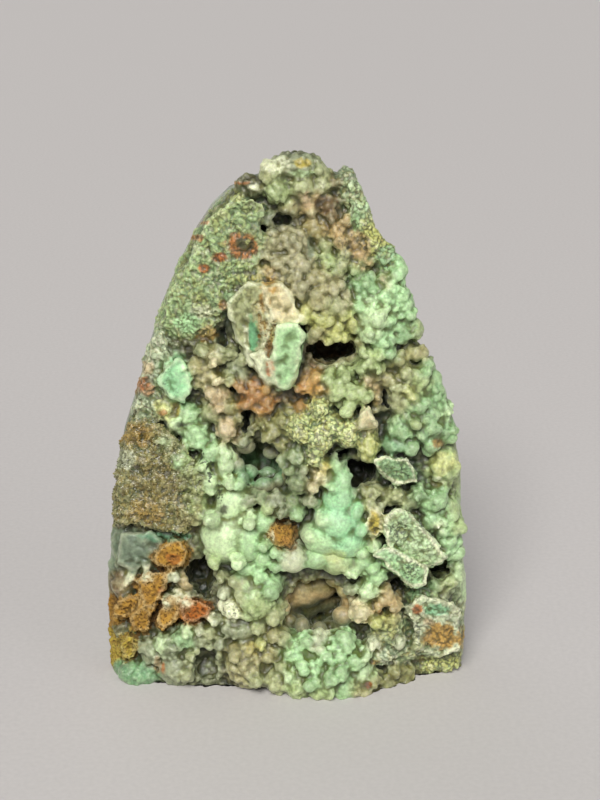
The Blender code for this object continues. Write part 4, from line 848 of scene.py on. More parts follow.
def thin_out(made, triangles):
    """Bring an object under so many triangles, most of them where it is rough."""
    made.modifiers.new("triangles", "TRIANGULATE")
    apply_modifiers(made)
    if len(made.data.polygons) > triangles:
        decimate = made.modifiers.new("thin", "DECIMATE")
        decimate.ratio = triangles / len(made.data.polygons)
        apply_modifiers(made)


def read_rows(items, name, width, number):
    """One property of every item of a mesh, a row each."""
    flat = np.empty(len(items) * width, number)
    items.foreach_get(name, flat)
    return flat.reshape(-1, width)


def vertex_points(made):
    """The vertices of an object in millimetres, in the layout's place."""
    return read_rows(made.data.vertices, "co", 3, float) / MM - np.array(SLIDE)


def vertex_normals(made):
    """The normals of an object's vertices."""
    return read_rows(made.data.vertex_normals, "vector", 3, np.float32).astype(float)


def move_vertices(made, points):
    """Put the vertices of an object at points in millimetres, in the layout's place."""
    made.data.vertices.foreach_set("co", ((points + np.array(SLIDE)) * MM).ravel())
    made.data.update()


def give_attribute(made, name, values):
    """Store one number for each vertex."""
    attribute = made.data.attributes.get(name) or made.data.attributes.new(name, "FLOAT", "POINT")
    attribute.data.foreach_set("value", np.asarray(values, np.float32))


def give_colour(made, colours):
    """Store the stone's colour for each vertex, with the painted highlights and painted shade that
    it is given.
    """
    attribute = made.data.attributes.get("stone_colour")
    attribute = attribute or made.data.attributes.new("stone_colour", "FLOAT_COLOR", "POINT")
    full = np.ones((len(colours), 4), np.float32)
    full[:, :3] = np.clip(colours, 0.0, 1.0)
    attribute.data.foreach_set("color", full.ravel())


def edge_ends(made):
    """The two vertices of every edge."""
    return read_rows(made.data.edges, "vertices", 2, np.int32)


def neighbour_mean(values, ends, rounds):
    """Average values over the mesh for some rounds."""
    count = len(values)
    degree = np.bincount(ends.ravel(), minlength=count).astype(float) + 1.0
    for _ in range(rounds):
        total = values.copy()
        for axis in range(values.shape[1]):
            column = values[:, axis]
            total[:, axis] += np.bincount(ends[:, 0], weights=column[ends[:, 1]], minlength=count)
            total[:, axis] += np.bincount(ends[:, 1], weights=column[ends[:, 0]], minlength=count)
        values = total / degree[:, None]
    return values


def roundness(points, normals, ends, rounds):
    """How far each vertex stands out of its surroundings, in millimetres."""
    return np.einsum("ij,ij->i", points - neighbour_mean(points, ends, rounds), normals)


def lattice_noise(points, size, seed):
    """Smooth noise from -1 to 1 whose waves are about size millimetres long."""
    scaled = points / size + seed * 17.31
    base = np.floor(scaled).astype(np.int64)
    part = scaled - base
    part = part * part * (3 - 2 * part)
    total = np.zeros(len(points))
    for corner in range(8):
        step = np.array([(corner >> axis) & 1 for axis in range(3)])
        cell = base + step
        mixed = (cell[:, 0] * 73856093) ^ (cell[:, 1] * 19349663) ^ (cell[:, 2] * 83492791)
        mixed = (mixed ^ (mixed >> 13)) * 1274126177
        value = ((mixed ^ (mixed >> 16)) & 0xFFFF) / 32767.5 - 1
        total += value * np.prod(np.where(step == 1, part, 1 - part), axis=1)
    return total


def noise_shift(points, size, seed):
    """A small smooth shift for each point, up to 1 along each axis."""
    return np.stack([lattice_noise(points, size, seed + axis * 0.37) for axis in range(3)], axis=1)


def eased(values, start, end):
    """Ease from 0 at start to 1 at end."""
    share = np.clip((values - start) / (end - start), 0.0, 1.0)
    return share * share * (3 - 2 * share)


Feature = namedtuple("Feature", "kind tone box distance")


def held_in(across, up):
    """Across positions held a little inside the seen edges, so that flanks look like the front."""
    left, right = body_width(up)
    return np.clip(across, left + FLANK_MARGIN, right - FLANK_MARGIN)


def lump_feature(centre, size, kind, tone):
    """A rounded lump as a feature."""
    middle, half = np.array(centre), np.array(size)
    across, up = (float(place[0]) for place in layout_place(middle[None, :]))
    high = math.hypot(half[2], 0.55 * half[1])

    def distance(points, _across, _up):
        return np.abs(np.linalg.norm((points - middle) / half, axis=1) - 1.0) * half.min()

    return Feature(kind, tone, (across - half[0], across + half[0], up - high, up + high), distance)


def outline_box(outline):
    """Left, right, lower and upper end of an outline."""
    acrosses, ups = zip(*outline)
    return min(acrosses), max(acrosses), min(ups), max(ups)


def outline_distance(across, up, outline):
    """Distance from points to an outline on the layout plane, negative inside."""
    best = np.full(len(across), 1e9)
    inside = np.zeros(len(across), bool)
    for (x0, y0), (x1, y1) in zip(outline, outline[1:] + outline[:1]):
        run, rise = x1 - x0, y1 - y0
        share = ((across - x0) * run + (up - y0) * rise) / (run * run + rise * rise)
        share = np.clip(share, 0.0, 1.0)
        best = np.minimum(best, np.hypot(across - x0 - share * run, up - y0 - share * rise))
        crosses = (y0 > up) != (y1 > up)
        if rise:
            inside ^= crosses & (across < x0 + (up - y0) * run / rise)
    return np.where(inside, -best, best)


def behind_face(points, across, up, fragment):
    """How far points lie behind the broken face of a fragment."""
    middle_across, middle_up, front = fragment_middle(fragment)
    slope = (across - middle_across) * fragment.slope_across + (up - middle_up) * fragment.slope_up
    return points[:, 1] - front + slope


def fragment_feature(fragment):
    """An angular piece as a feature."""
    def distance(points, across, up):
        behind = behind_face(points, across, up, fragment)
        aside = outline_distance(across, up, fragment.outline)
        before_face = np.hypot(np.maximum(aside, 0.0), behind)
        beside = np.where(aside > 0, aside, np.minimum(np.abs(behind), -aside))
        return np.where(behind < 0, before_face, beside)

    return Feature(fragment.kind, fragment.tone, outline_box(fragment.outline), distance)


def hollow_feature(hollow):
    """The wall of a hollow as a feature."""
    centre, _, turn = hollow_place(hollow)
    half = np.array(hollow_size(hollow))
    turned = np.array(turn.to_3x3())

    def distance(points, _across, _up):
        off = np.linalg.norm((points - np.array(centre)) @ turned / half, axis=1)
        return np.abs(off - 1.0) * half.min()

    box = (hollow.across - hollow.half_width, hollow.across + hollow.half_width,
           hollow.up - hollow.half_height, hollow.up + hollow.half_height)
    return Feature("cavity", hollow.tone, box, distance)


def bare_distance(points, _across, _up):
    """Distance to the bare body between the growths."""
    behind = points[:, 1] - face_depth(points[:, 0], points[:, 2])
    return np.abs(behind - BODY_SETBACK + GROWTH_PROUD) + 0.4


def all_features():
    """Every lump, fragment and hollow, and at last the bare body."""
    made = [lump_feature(*lump_form(*form), kind, tone) for *form, kind, tone in all_lumps()]
    made += [fragment_feature(fragment) for fragment in FRAGMENTS.values()]
    made += [hollow_feature(hollow) for hollow in all_hollows()]
    return made + [Feature("gap", "matrix", (-999.0, 999.0, -999.0, 999.0), bare_distance)]


def belonging(points, square=12.0, near=5.0, softness=0.6):
    """Colour, surface traits and nearest feature of each point, and the kind of every feature.

    Points are taken square by square on the layout plane, with the features near it.
    """
    features = all_features()
    kinds = [feature.kind for feature in features]
    tone_table = np.array([tone_colour(feature.tone) for feature in features])
    kind_table = np.array([KINDS[kind] for kind in kinds])
    boxes = np.array([feature.box for feature in features])
    moved = points + 0.9 * noise_shift(points, 3.4, 1) + 0.35 * noise_shift(points, 1.3, 4)
    across, up = layout_place(moved)
    across = held_in(across, up)
    column, row = np.floor(across / square), np.floor(up / square)
    order = np.lexsort((column, row))
    new_square = (np.diff(column[order]) != 0) | (np.diff(row[order]) != 0)
    colours = np.empty((len(points), 3))
    traits = np.empty((len(points), len(Kind._fields)))
    nearest = np.empty(len(points), int)
    for group in np.split(order, np.flatnonzero(new_square) + 1):
        left, low = column[group[0]] * square, row[group[0]] * square
        close = np.flatnonzero(
            (boxes[:, 0] < left + square + near) & (boxes[:, 1] > left - near)
            & (boxes[:, 2] < low + square + near) & (boxes[:, 3] > low - near))
        places = moved[group], across[group], up[group]
        away = np.stack([features[here].distance(*places) for here in close], axis=1)
        share = np.exp((away.min(axis=1)[:, None] - away) / softness)
        share /= share.sum(axis=1)[:, None]
        colours[group] = share @ tone_table[close]
        traits[group] = share @ kind_table[close]
        nearest[group] = close[away.argmin(axis=1)]
    return colours, traits, nearest, kinds


def same_tone(tone, points):
    """One tone for every point."""
    return np.tile(tone_colour(tone), (len(points), 1))


def toward(colours, tone, share):
    """Move colours towards a tone by a share for each point."""
    return colours + (tone_colour(tone) - colours) * share[:, None]


def patch_share(across, up, wobble, row):
    """How much of a patch shows at each point, with a ragged edge."""
    patch_across, patch_up, reach_across, reach_up = row[:4]
    off = np.hypot((across - patch_across) / reach_across, (up - patch_up) / reach_up)
    return eased(off + wobble, 1.15, 0.75) * row[-1]


def depth_behind(points, cell=1.2, reach=4):
    """How far each point lies behind the mean front around it, in millimetres."""
    across, up = layout_place(points)
    column = ((across + 80) / cell).astype(int)
    row = ((up + 20) / cell).astype(int)
    shape = (int(250 / cell), int(160 / cell))
    cells = np.clip(row, 0, shape[0] - 1), np.clip(column, 0, shape[1] - 1)
    front = np.full(shape, 99.0)
    np.minimum.at(front, cells, points[:, 1])
    known = front < 90
    front[~known] = 0.0
    total, weight = front.copy(), known.astype(float)
    for axis in (0, 1):
        total = sum(np.roll(total, step, axis) for step in range(-reach, reach + 1))
        weight = sum(np.roll(weight, step, axis) for step in range(-reach, reach + 1))
    mean = total / np.maximum(weight, 1e-6)
    return points[:, 1] - mean[cells]


def set_inputs(tree, node, inputs):
    """Give a node's inputs values or links. A node given here stands for its first output."""
    for key, value in inputs.items():
        if isinstance(value, bpy.types.Node):
            value = value.outputs[0]
        if isinstance(value, bpy.types.NodeSocket):
            tree.links.new(value, node.inputs[key])
        else:
            node.inputs[key].default_value = value


def add_node(tree, kind, inputs=None, **settings):
    """Add a node, set its properties, and give its inputs values or links."""
    made = tree.nodes.new(kind)
    for name, value in settings.items():
        setattr(made, name, value)
    set_inputs(tree, made, inputs or {})
    return made


def new_tree(name, sockets):
    """Start a Geometry Nodes tree with named inputs, which are sizes but for a seed and a stone."""
    kinds = {"Seed": "NodeSocketInt", "Stone": "NodeSocketMaterial"}
    tree = bpy.data.node_groups.new(name, "GeometryNodeTree")
    tree.interface.new_socket("Geometry", in_out="INPUT", socket_type="NodeSocketGeometry")
    for socket in sockets:
        kind = kinds.get(socket, "NodeSocketFloat")
        tree.interface.new_socket(socket, in_out="INPUT", socket_type=kind)
    tree.interface.new_socket("Geometry", in_out="OUTPUT", socket_type="NodeSocketGeometry")
    return tree, add_node(tree, "NodeGroupInput").outputs


def finish_tree(tree, geometry, stone):
    """End a tree in Realize Instances and Set Material."""
    real = add_node(tree, "GeometryNodeRealizeInstances", {"Geometry": geometry})
    stoned = add_node(tree, "GeometryNodeSetMaterial", {"Geometry": real, "Material": stone})
    add_node(tree, "NodeGroupOutput", {"Geometry": stoned})


def use_tree(made, tree, values):
    """Run a tree on an object. An input takes its value, or else the setting of its own name."""
    shape = bpy.context.scene.specimen_shape
    modifier = made.modifiers.new(tree.name, "NODES")
    modifier.node_group = tree
    for item in tree.interface.items_tree:
        if item.in_out == "INPUT" and item.name != "Geometry":
            setting = item.name.lower().replace(" ", "_")
            modifier[item.identifier] = (
                values[item.name] if item.name in values else getattr(shape, setting))
    apply_modifiers(made)


def scattered_points(tree, surface, mask, apart, seed):
    """Points scattered over a surface where the mask asks for them, this far apart or more."""
    area = add_node(tree, "ShaderNodeMath", {0: apart, 1: 2.0}, operation="POWER")
    density = add_node(tree, "ShaderNodeMath", {0: 2.0, 1: area}, operation="DIVIDE")
    wanted = add_node(tree, "GeometryNodeInputNamedAttribute", {"Name": mask}, data_type="FLOAT")
    return add_node(tree, "GeometryNodeDistributePointsOnFaces", {
        "Mesh": surface, "Distance Min": apart, "Density Max": density,
        "Density Factor": wanted, "Seed": seed,
    }, distribute_method="POISSON").outputs


def scattered_balls(tree, surface, mask, radius, spacing, seed, fineness):
    """Balls scattered over a surface where the mask asks for them, sunk a little into it."""
    apart = add_node(tree, "ShaderNodeMath", {0: radius, 1: spacing}, operation="MULTIPLY")
    spots = scattered_points(tree, surface, mask, apart, seed)
    sink = add_node(tree, "ShaderNodeMath", {0: radius, 1: -0.35}, operation="MULTIPLY")
    sunk = push_out(tree, spots["Points"], sink, spots["Normal"])
    ball = add_node(tree, "GeometryNodeMeshIcoSphere", {"Radius": radius, "Subdivisions": fineness})
    stretch = add_node(tree, "FunctionNodeRandomValue", {
        0: (0.7, 0.7, 0.7), 1: (1.4, 1.3, 1.4), "Seed": seed,
    }, data_type="FLOAT_VECTOR")
    turn = add_node(tree, "FunctionNodeRandomValue", {
        0: (0.0, 0.0, 0.0), 1: (6.28, 6.28, 6.28), "Seed": seed,
    }, data_type="FLOAT_VECTOR")
    return add_node(tree, "GeometryNodeInstanceOnPoints", {
        "Points": sunk, "Instance": ball, "Rotation": turn, "Scale": stretch,
    })


def botryoid_tree():
    """Rounded growths of three sizes that cover a surface."""
    tree, given = new_tree("botryoids", (
        "Grape radius", "Bead radius", "Grain radius", "Seed", "Stone"))
    surface = given["Geometry"]
    sizes = (
        ("grapes", given["Grape radius"], 1.35, 3),
        ("beads", given["Bead radius"], 1.3, 2),
        ("grains", given["Grain radius"], 1.45, 2),
    )
    joined = add_node(tree, "GeometryNodeJoinGeometry", {0: surface})
    for mask, radius, spacing, fineness in sizes:
        balls = scattered_balls(tree, surface, mask, radius, spacing, given["Seed"], fineness)
        set_inputs(tree, joined, {0: balls})
    finish_tree(tree, joined, given["Stone"])
    return tree


def bent_place(tree, place, bend_mm=5):
    """Coordinates bent by noise, so that crystal heads differ in size and shape."""
    noise = add_node(tree, "ShaderNodeTexNoise", {
        "Vector": place, "Scale": 1.0 / (4 * MM), "Detail": 2.0,
    })
    centred = add_node(tree, "ShaderNodeVectorMath", {
        0: noise.outputs["Color"], 1: (0.5, 0.5, 0.5),
    }, operation="SUBTRACT")
    bend = add_node(tree, "ShaderNodeVectorMath", {
        0: centred, "Scale": bend_mm * MM,
    }, operation="SCALE")
    return add_node(tree, "ShaderNodeVectorMath", {0: place, 1: bend}, operation="ADD")


def push_out(tree, geometry, height, normal):
    """Move a surface or points along their normals."""
    offset = add_node(tree, "ShaderNodeVectorMath", {0: normal, "Scale": height}, operation="SCALE")
    return add_node(tree, "GeometryNodeSetPosition", {"Geometry": geometry, "Offset": offset})


def full_height(tree, level, height, mask):
    """A level as a height, by the share of it that each vertex has."""
    high = add_node(tree, "ShaderNodeMath", {0: level, 1: height}, operation="MULTIPLY")
    share = add_node(tree, "GeometryNodeInputNamedAttribute", {"Name": mask}, data_type="FLOAT")
    return add_node(tree, "ShaderNodeMath", {0: high, 1: share}, operation="MULTIPLY")


def lobes(tree, given, place, normal):
    """Rounded lobes that meet in sharp creases, over the whole skin."""
    bent = bent_place(tree, place, 2)
    often = add_node(tree, "ShaderNodeMath", {0: 1.0, 1: given["Lobe width"]}, operation="DIVIDE")
    off = add_node(tree, "ShaderNodeTexVoronoi", {"Vector": bent, "Scale": often})
    off = add_node(tree, "ShaderNodeMath", {0: off, 1: 1.35}, operation="MULTIPLY")
    off = add_node(tree, "ShaderNodeMath", {0: off, 1: 2.0}, operation="POWER")
    left = add_node(tree, "ShaderNodeMath", {0: 1.0, 1: off}, operation="SUBTRACT", use_clamp=True)
    dome = add_node(tree, "ShaderNodeMath", {0: left, 1: 0.5}, operation="POWER")
    level = add_node(tree, "ShaderNodeMath", {0: dome, 1: 0.75}, operation="SUBTRACT")
    height = full_height(tree, level, given["Lobe height"], "lobes")
    return push_out(tree, given["Geometry"], height, normal)


def relief_tree():
    """Lobes, small rounded crystal heads over the growths, and pits in the limonite."""
    tree, given = new_tree("stone_relief", (
        "Lobe height", "Lobe width", "Grit height", "Grit width", "Pit depth", "Pit width",
        "Stone"))
    place = add_node(tree, "GeometryNodeInputPosition")
    normal = add_node(tree, "GeometryNodeInputNormal")
    lobed = lobes(tree, given, place, normal)
    often = add_node(tree, "ShaderNodeMath", {0: 1.0, 1: given["Grit width"]}, operation="DIVIDE")
    bent = bent_place(tree, place)
    heads = add_node(tree, "ShaderNodeTexVoronoi", {"Vector": bent, "Scale": often})
    dome = add_node(tree, "ShaderNodeMapRange", {
        "Value": heads, "From Min": 0.7, "From Max": 0.05, "To Min": -0.6, "To Max": 0.4,
    })
    waves = add_node(tree, "ShaderNodeTexNoise", {
        "Vector": place, "Scale": often, "Detail": 2.0, "Roughness": 0.6,
    })
    uneven = add_node(tree, "ShaderNodeMath", {0: waves, 1: dome}, operation="ADD")
    level = add_node(tree, "ShaderNodeMath", {0: uneven, 1: 0.5}, operation="SUBTRACT")
    grit = full_height(tree, level, given["Grit height"], "grit")
    per_pit = add_node(tree, "ShaderNodeMath", {0: 1.0, 1: given["Pit width"]}, operation="DIVIDE")
    cells = add_node(tree, "ShaderNodeTexVoronoi", {"Vector": place, "Scale": per_pit})
    hole = add_node(tree, "ShaderNodeMapRange", {
        "Value": cells, "From Min": 0.5, "From Max": 0.15, "To Max": 1.0,
    }, interpolation_type="SMOOTHSTEP")
    pit = full_height(tree, hole, given["Pit depth"], "pits")
    height = add_node(tree, "ShaderNodeMath", {0: grit, 1: pit}, operation="SUBTRACT")
    finish_tree(tree, push_out(tree, lobed, height, normal), given["Stone"])
    return tree


def crystal_tree():
    """Small six-sided crystals that stand out of a surface."""
    tree, given = new_tree("crystals", ("Crystal size", "Spacing", "Seed", "Stone"))
    spots = scattered_points(
        tree, given["Geometry"], "crystals", given["Spacing"], given["Seed"])
    wide = add_node(tree, "ShaderNodeMath", {
        0: given["Crystal size"], 1: 0.62,
    }, operation="MULTIPLY")
    sides = add_node(tree, "ShaderNodeCombineXYZ", {0: wide, 1: wide, 2: given["Crystal size"]})
    block = add_node(tree, "GeometryNodeMeshCube", {"Size": sides})
    lean = add_node(tree, "FunctionNodeRandomValue", {
        0: (-0.7, -0.7, 0.0), 1: (0.7, 0.7, 6.28), "Seed": given["Seed"],
    }, data_type="FLOAT_VECTOR")
    upright = add_node(tree, "FunctionNodeAlignEulerToVector", {
        "Rotation": lean, "Vector": spots["Normal"], "Factor": 0.75,
    }, axis="Z")
    scale = add_node(tree, "FunctionNodeRandomValue", {
        0: (0.6, 0.6, 0.6), 1: (1.3, 1.3, 1.3), "Seed": given["Seed"],
    }, data_type="FLOAT_VECTOR")
    standing = add_node(tree, "GeometryNodeInstanceOnPoints", {
        "Points": spots["Points"], "Instance": block,
        "Rotation": upright, "Scale": scale,
    })
    finish_tree(tree, standing, given["Stone"])
    return tree


def start_material(name):
    """A material with its tree, its shader and Object coordinates."""
    made = bpy.data.materials.new(name)
    made.use_nodes = True
    tree = made.node_tree
    place = add_node(tree, "ShaderNodeTexCoord").outputs["Object"]
    return made, tree, tree.nodes["Principled BSDF"], place


def blend_in(tree, shade, colour, value, start, end, strength, mask=None, soft=False):
    """Blend a colour into a shade where a value passes from start to end, by the mask."""
    share = add_node(tree, "ShaderNodeMapRange", {
        "Value": value, "From Min": start, "From Max": end, "To Max": strength,
    }, interpolation_type="SMOOTHSTEP" if soft else "LINEAR")
    if mask is not None:
        share = add_node(tree, "ShaderNodeMath", {0: share, 1: mask}, operation="MULTIPLY")
    return add_node(tree, "ShaderNodeMix", {
        0: share, 6: shade, 7: colour,
    }, data_type="RGBA").outputs[2]


def clouded(tree, shade, place, size, detail, roughness, dark, bright):
    """A shade that is darker and brighter in clouds of a size in millimetres, and the clouds."""
    cloud = add_node(tree, "ShaderNodeTexNoise", {
        "Vector": place, "Scale": 1.0 / (size * MM), "Detail": detail, "Roughness": roughness,
    })
    light = add_node(tree, "ShaderNodeMapRange", {
        "Value": cloud, "From Min": 0.3, "From Max": 0.7, "To Min": dark, "To Max": bright,
    })
    varied = add_node(tree, "ShaderNodeVectorMath", {0: shade, "Scale": light}, operation="SCALE")
    return varied, cloud


def stone_shade(tree, place, wave):
    """The stone's colour: pale crystal heads, painted shade in the gaps between them, mottling and
    dark grains.
    """
    # The colour attribute holds the stone's colour with painted highlights and painted shade
    own = add_node(tree, "ShaderNodeAttribute", attribute_name="stone_colour").outputs["Color"]
    grit, mottle, specks = (
        add_node(tree, "ShaderNodeAttribute", attribute_name=name).outputs["Fac"]
        for name in ("grit", "mottle", "specks"))
    heads = add_node(tree, "ShaderNodeTexVoronoi", {
        "Vector": bent_place(tree, place),
        "Scale": 1.0 / bpy.context.scene.specimen_shape.grit_width,
    })
    # Painted shade: the gaps between crystal heads are darkened towards brown, as light leaves them
    # only by many bounces
    shade = blend_in(tree, own, full_colour("3A3716"), heads, 0.38, 0.72, 0.75, grit, True)
    shade, _ = clouded(tree, shade, place, wave, 4.0, 0.65, 0.7, 1.25)
    # Some crystal heads are white, yellow-green or dark
    stops = (
        (0.0, "4A4A20"), (0.25, "B9BC72"), (0.42, "8FBE8E"), (0.75, "EDF0D6"), (0.9, "C0A050"))
    mixed = add_node(tree, "ShaderNodeValToRGB", {"Fac": heads.outputs["Color"]})
    mixed.color_ramp.interpolation = "CONSTANT"
    set_stops(mixed.color_ramp.elements, stops)
    part = add_node(tree, "ShaderNodeMath", {0: mottle, 1: 0.4}, operation="MULTIPLY")
    shade = add_node(tree, "ShaderNodeMix", {
        0: part, 6: shade, 7: mixed,
    }, data_type="RGBA").outputs[2]
    # Dark grains, a little larger than in the stone so that they show
    grains = add_node(tree, "ShaderNodeTexNoise", {
        "Vector": place, "Scale": 1.0 / (1.1 * MM), "Detail": 1.0,
    })
    more = add_node(tree, "ShaderNodeMath", {0: specks, 1: 0.18}, operation="MULTIPLY")
    level = add_node(tree, "ShaderNodeMath", {0: grains, 1: more}, operation="ADD")
    speck = (*bpy.context.scene.specimen_colours.speck, 1.0)
    return blend_in(tree, shade, speck, level, 0.66, 0.71, 0.9, specks)


def set_stops(elements, stops):
    """Put colours at their places along a row of colours."""
    first, last = elements
    first.color = full_colour(stops[0][1])
    last.position = stops[-1][0]
    last.color = full_colour(stops[-1][1])
    for position, tone in stops[1:-1]:
        elements.new(position).color = full_colour(tone)


def frosted(tree, place, grit, smooth, rough):
    """Roughness that changes from crystal to crystal."""
    cells = add_node(tree, "ShaderNodeTexVoronoi", {"Vector": place, "Scale": 1.0 / (grit * MM)})
    return add_node(tree, "ShaderNodeMapRange", {
        "Value": cells.outputs["Color"], "To Min": smooth, "To Max": rough,
    })


def grit_bump(tree, place, grit, height):
    """Bump of small crystal ends, given in millimetres."""
    cells = add_node(tree, "ShaderNodeTexVoronoi", {
        "Vector": place, "Scale": 1.0 / (grit * MM),
    }, distance="CHEBYCHEV")
    return add_node(tree, "ShaderNodeBump", {
        "Height": cells.outputs["Distance"], "Distance": height * MM, "Strength": 0.7,
    })


def waxy_smithsonite():
    """Botryoidal smithsonite, grown in water: waxy, and light goes a little way into it.

    Each bead ends in crystals of about 0.5 mm, which gives a frosted shine with small glints.
    """
    made, tree, shader, place = start_material("waxy_smithsonite")
    set_inputs(tree, shader, {
        "IOR": 1.62, "Metallic": 0.0, "Subsurface Weight": 0.35, "Subsurface Scale": 0.001,
        "Subsurface Radius": (0.8, 1.0, 0.75),
        "Sheen Weight": 0.25, "Sheen Roughness": 0.4, "Sheen Tint": full_colour("EAF3D8"),
        "Base Color": stone_shade(tree, place, 1.4),
        "Roughness": frosted(tree, place, 0.7, 0.28, 0.62),
        "Normal": grit_bump(tree, place, 0.55, 0.16),
    })
    return made


def drusy_smithsonite():
    """Skin of small upright smithsonite crystals: rougher than the beads, with stronger glints."""
    made, tree, shader, place = start_material("drusy_smithsonite")
    set_inputs(tree, shader, {
        "IOR": 1.7, "Metallic": 0.0, "Subsurface Weight": 0.1, "Subsurface Scale": 0.0005,
        "Subsurface Radius": (1.0, 0.9, 0.6),
        "Base Color": stone_shade(tree, place, 0.9),
        "Roughness": frosted(tree, place, 0.6, 0.15, 0.5),
        "Normal": grit_bump(tree, place, 0.6, 0.25),
    })
    return made


def earthy_limonite():
    """Limonite, a dull and porous iron stone: no shine, dark pits and rust-coloured grains."""
    made, tree, shader, place = start_material("earthy_limonite")
    # The colour attribute holds the stone's colour with painted shade in creases and recesses
    own = add_node(tree, "ShaderNodeAttribute", attribute_name="stone_colour").outputs["Color"]
    cloud = add_node(tree, "ShaderNodeTexNoise", {
        "Vector": place, "Scale": 1.0 / (1.3 * MM), "Detail": 5.0, "Roughness": 0.7,
    })
    brown = (*bpy.context.scene.specimen_colours.limonite, 1.0)
    mixed = blend_in(tree, own, brown, cloud, 0.42, 0.62, 0.6)
    pores = add_node(tree, "ShaderNodeTexVoronoi", {"Vector": place, "Scale": 1.0 / (1.0 * MM)})
    set_inputs(tree, shader, {
        "IOR": 1.5, "Metallic": 0.0, "Roughness": 0.9,
        "Base Color": blend_in(tree, mixed, full_colour("33230F"), pores, 0.3, 0.16, 0.9),
        "Normal": grit_bump(tree, place, 0.7, 0.3),
    })
    return made


def polished_breccia():
    """Sawn and polished breccia: angular green and brown pieces in pale veins, evenly shiny."""
    colours = bpy.context.scene.specimen_colours
    made, tree, shader, place = start_material("polished_breccia")
    warp = add_node(tree, "ShaderNodeTexNoise", {
        "Vector": place, "Scale": 1.0 / (11 * MM), "Detail": 5.0,
    }).outputs["Color"]
    bent = add_node(tree, "ShaderNodeVectorMath", {0: warp, "Scale": 22 * MM}, operation="SCALE")
    moved = add_node(tree, "ShaderNodeVectorMath", {0: place, 1: bent}, operation="ADD")
    where = {"Vector": moved, "Scale": 1.0 / (14 * MM)}
    pieces = add_node(tree, "ShaderNodeTexVoronoi", where)
    seams = add_node(tree, "ShaderNodeTexVoronoi", where, feature="DISTANCE_TO_EDGE")
    stops = ((0.0, "56603F"), (0.3, "7F8A69"), (0.5, "8FA88A"), (0.68, "A8B98C"), (0.82, "7B6238"),
             (1.0, "5F4A2C"))
    mixed = add_node(tree, "ShaderNodeValToRGB", {"Fac": pieces.outputs["Color"]})
    set_stops(mixed.color_ramp.elements, stops)
    even = add_node(tree, "ShaderNodeMix", {
        0: 0.45, 6: mixed, 7: (*colours.polished, 1.0),
    }, data_type="RGBA").outputs[2]
    varied, cloud = clouded(tree, even, moved, 3.0, 5.0, 0.7, 0.65, 1.3)
    # Veins are broken where the cloud is strong
    broken = add_node(tree, "ShaderNodeMath", {0: cloud, 1: 0.16}, operation="MULTIPLY")
    off_seam = add_node(tree, "ShaderNodeMath", {
        0: seams.outputs["Distance"], 1: broken,
    }, operation="ADD")
    set_inputs(tree, shader, {
        "IOR": 1.6, "Metallic": 0.0, "Subsurface Weight": 0.1, "Subsurface Scale": 0.001,
        "Base Color": blend_in(tree, varied, (*colours.vein, 1.0), off_seam, 0.12, 0.06, 0.7),
        "Roughness": frosted(tree, place, 5.0, 0.16, 0.3),
    })
    return made


def matte_floor():
    """Matt painted board under the stone: plain and without shine."""
    made, tree, shader, place = start_material("matt_painted_board")
    colour = tuple(bpy.context.scene.specimen_stage.floor)
    shade, _ = clouded(tree, colour, place, 2.0, 2.0, 0.5, 0.97, 1.03)
    set_inputs(tree, shader, {"Roughness": 0.85, "IOR": 1.45, "Base Color": shade})
    return made


def stone_material(name):
    """Find a material, or make it the first time it is asked for."""
    makers = {
        "waxy_smithsonite": waxy_smithsonite,
        "drusy_smithsonite": drusy_smithsonite,
        "earthy_limonite": earthy_limonite,
        "polished_breccia": polished_breccia,
        "matt_painted_board": matte_floor,
    }
    return bpy.data.materials.get(name) or makers[name]()


def fill_body(work):
    """The whole sawn body."""
    heights = station_heights(0.0, LOFT_TOP)
    add_loft(work, [body_section(up, proud=-BODY_BEHIND_GROWTH) for up in heights])


def fill_growth(low, high):
    """Return a filler for the growth whose lumps and fragments lie between two heights."""
    def fill(work):
        heights = station_heights(max(low - 1.0, 0.0), min(high + 1.0, LOFT_TOP))
        add_loft(work, [body_section(up, GROWTH_INSET, GROWTH_PROUD, True) for up in heights])
        for *form, _, _ in all_lumps():
            if low <= form[1] < high:
                add_ball(work, *lump_form(*form))
        for fragment in FRAGMENTS.values():
            if low <= fragment_middle(fragment)[1] < high:
                add_fragment(work, fragment)
    return fill


def fill_hollows(work):
    """Every hollow, with uneven walls."""
    for hollow in all_hollows():
        centre, _, turn = hollow_place(hollow)
        wider = -1.2 if hollow in (LOWER_HOLLOW, CENTRAL_HOLLOW) else 0.0
        add_ball(work, centre, hollow_size(hollow, wider), 4, turn)
    points = np.array([vert.co[:] for vert in work.verts])
    bent = 1.6 * noise_shift(points, 5.0, 41) + 1.0 * noise_shift(points, 2.4, 43)
    for vert, shift in zip(work.verts, bent):
        vert.co += Vector(shift)


def make_ragged(made):
    """Bend the front of a growth so that no outline stays straight."""
    points = vertex_points(made)
    rim = between(RIM_AT_BASE, RIM_AT_TOP, points[:, 2], 1.2)
    share = eased(rim - points[:, 1], 2.0, 9.0)[:, None]
    _, _, nearest, kinds = belonging(points)
    first_angular = len(kinds) - len(FRAGMENTS) - len(all_hollows()) - 1
    angular = nearest >= first_angular
    angular = neighbour_mean(angular[:, None].astype(float), edge_ends(made), 3)
    bent = 0.6 * noise_shift(points, 6.0, 31) + 0.25 * noise_shift(points, 2.2, 37)
    bent += angular * (0.9 * noise_shift(points, 4.0, 33) + 0.7 * noise_shift(points, 1.8, 39))
    move_vertices(made, points + bent * share)


def in_the_open(points, normals):
    """1 on the broken front, 0 on the flanks and the back."""
    behind = points[:, 1] - face_depth(points[:, 0], points[:, 2])
    flank = (behind > 4.0) & (np.abs(normals[:, 0]) > 0.75)
    return eased(normals[:, 1], 0.45, 0.1) * (behind < 12.0) * ~flank


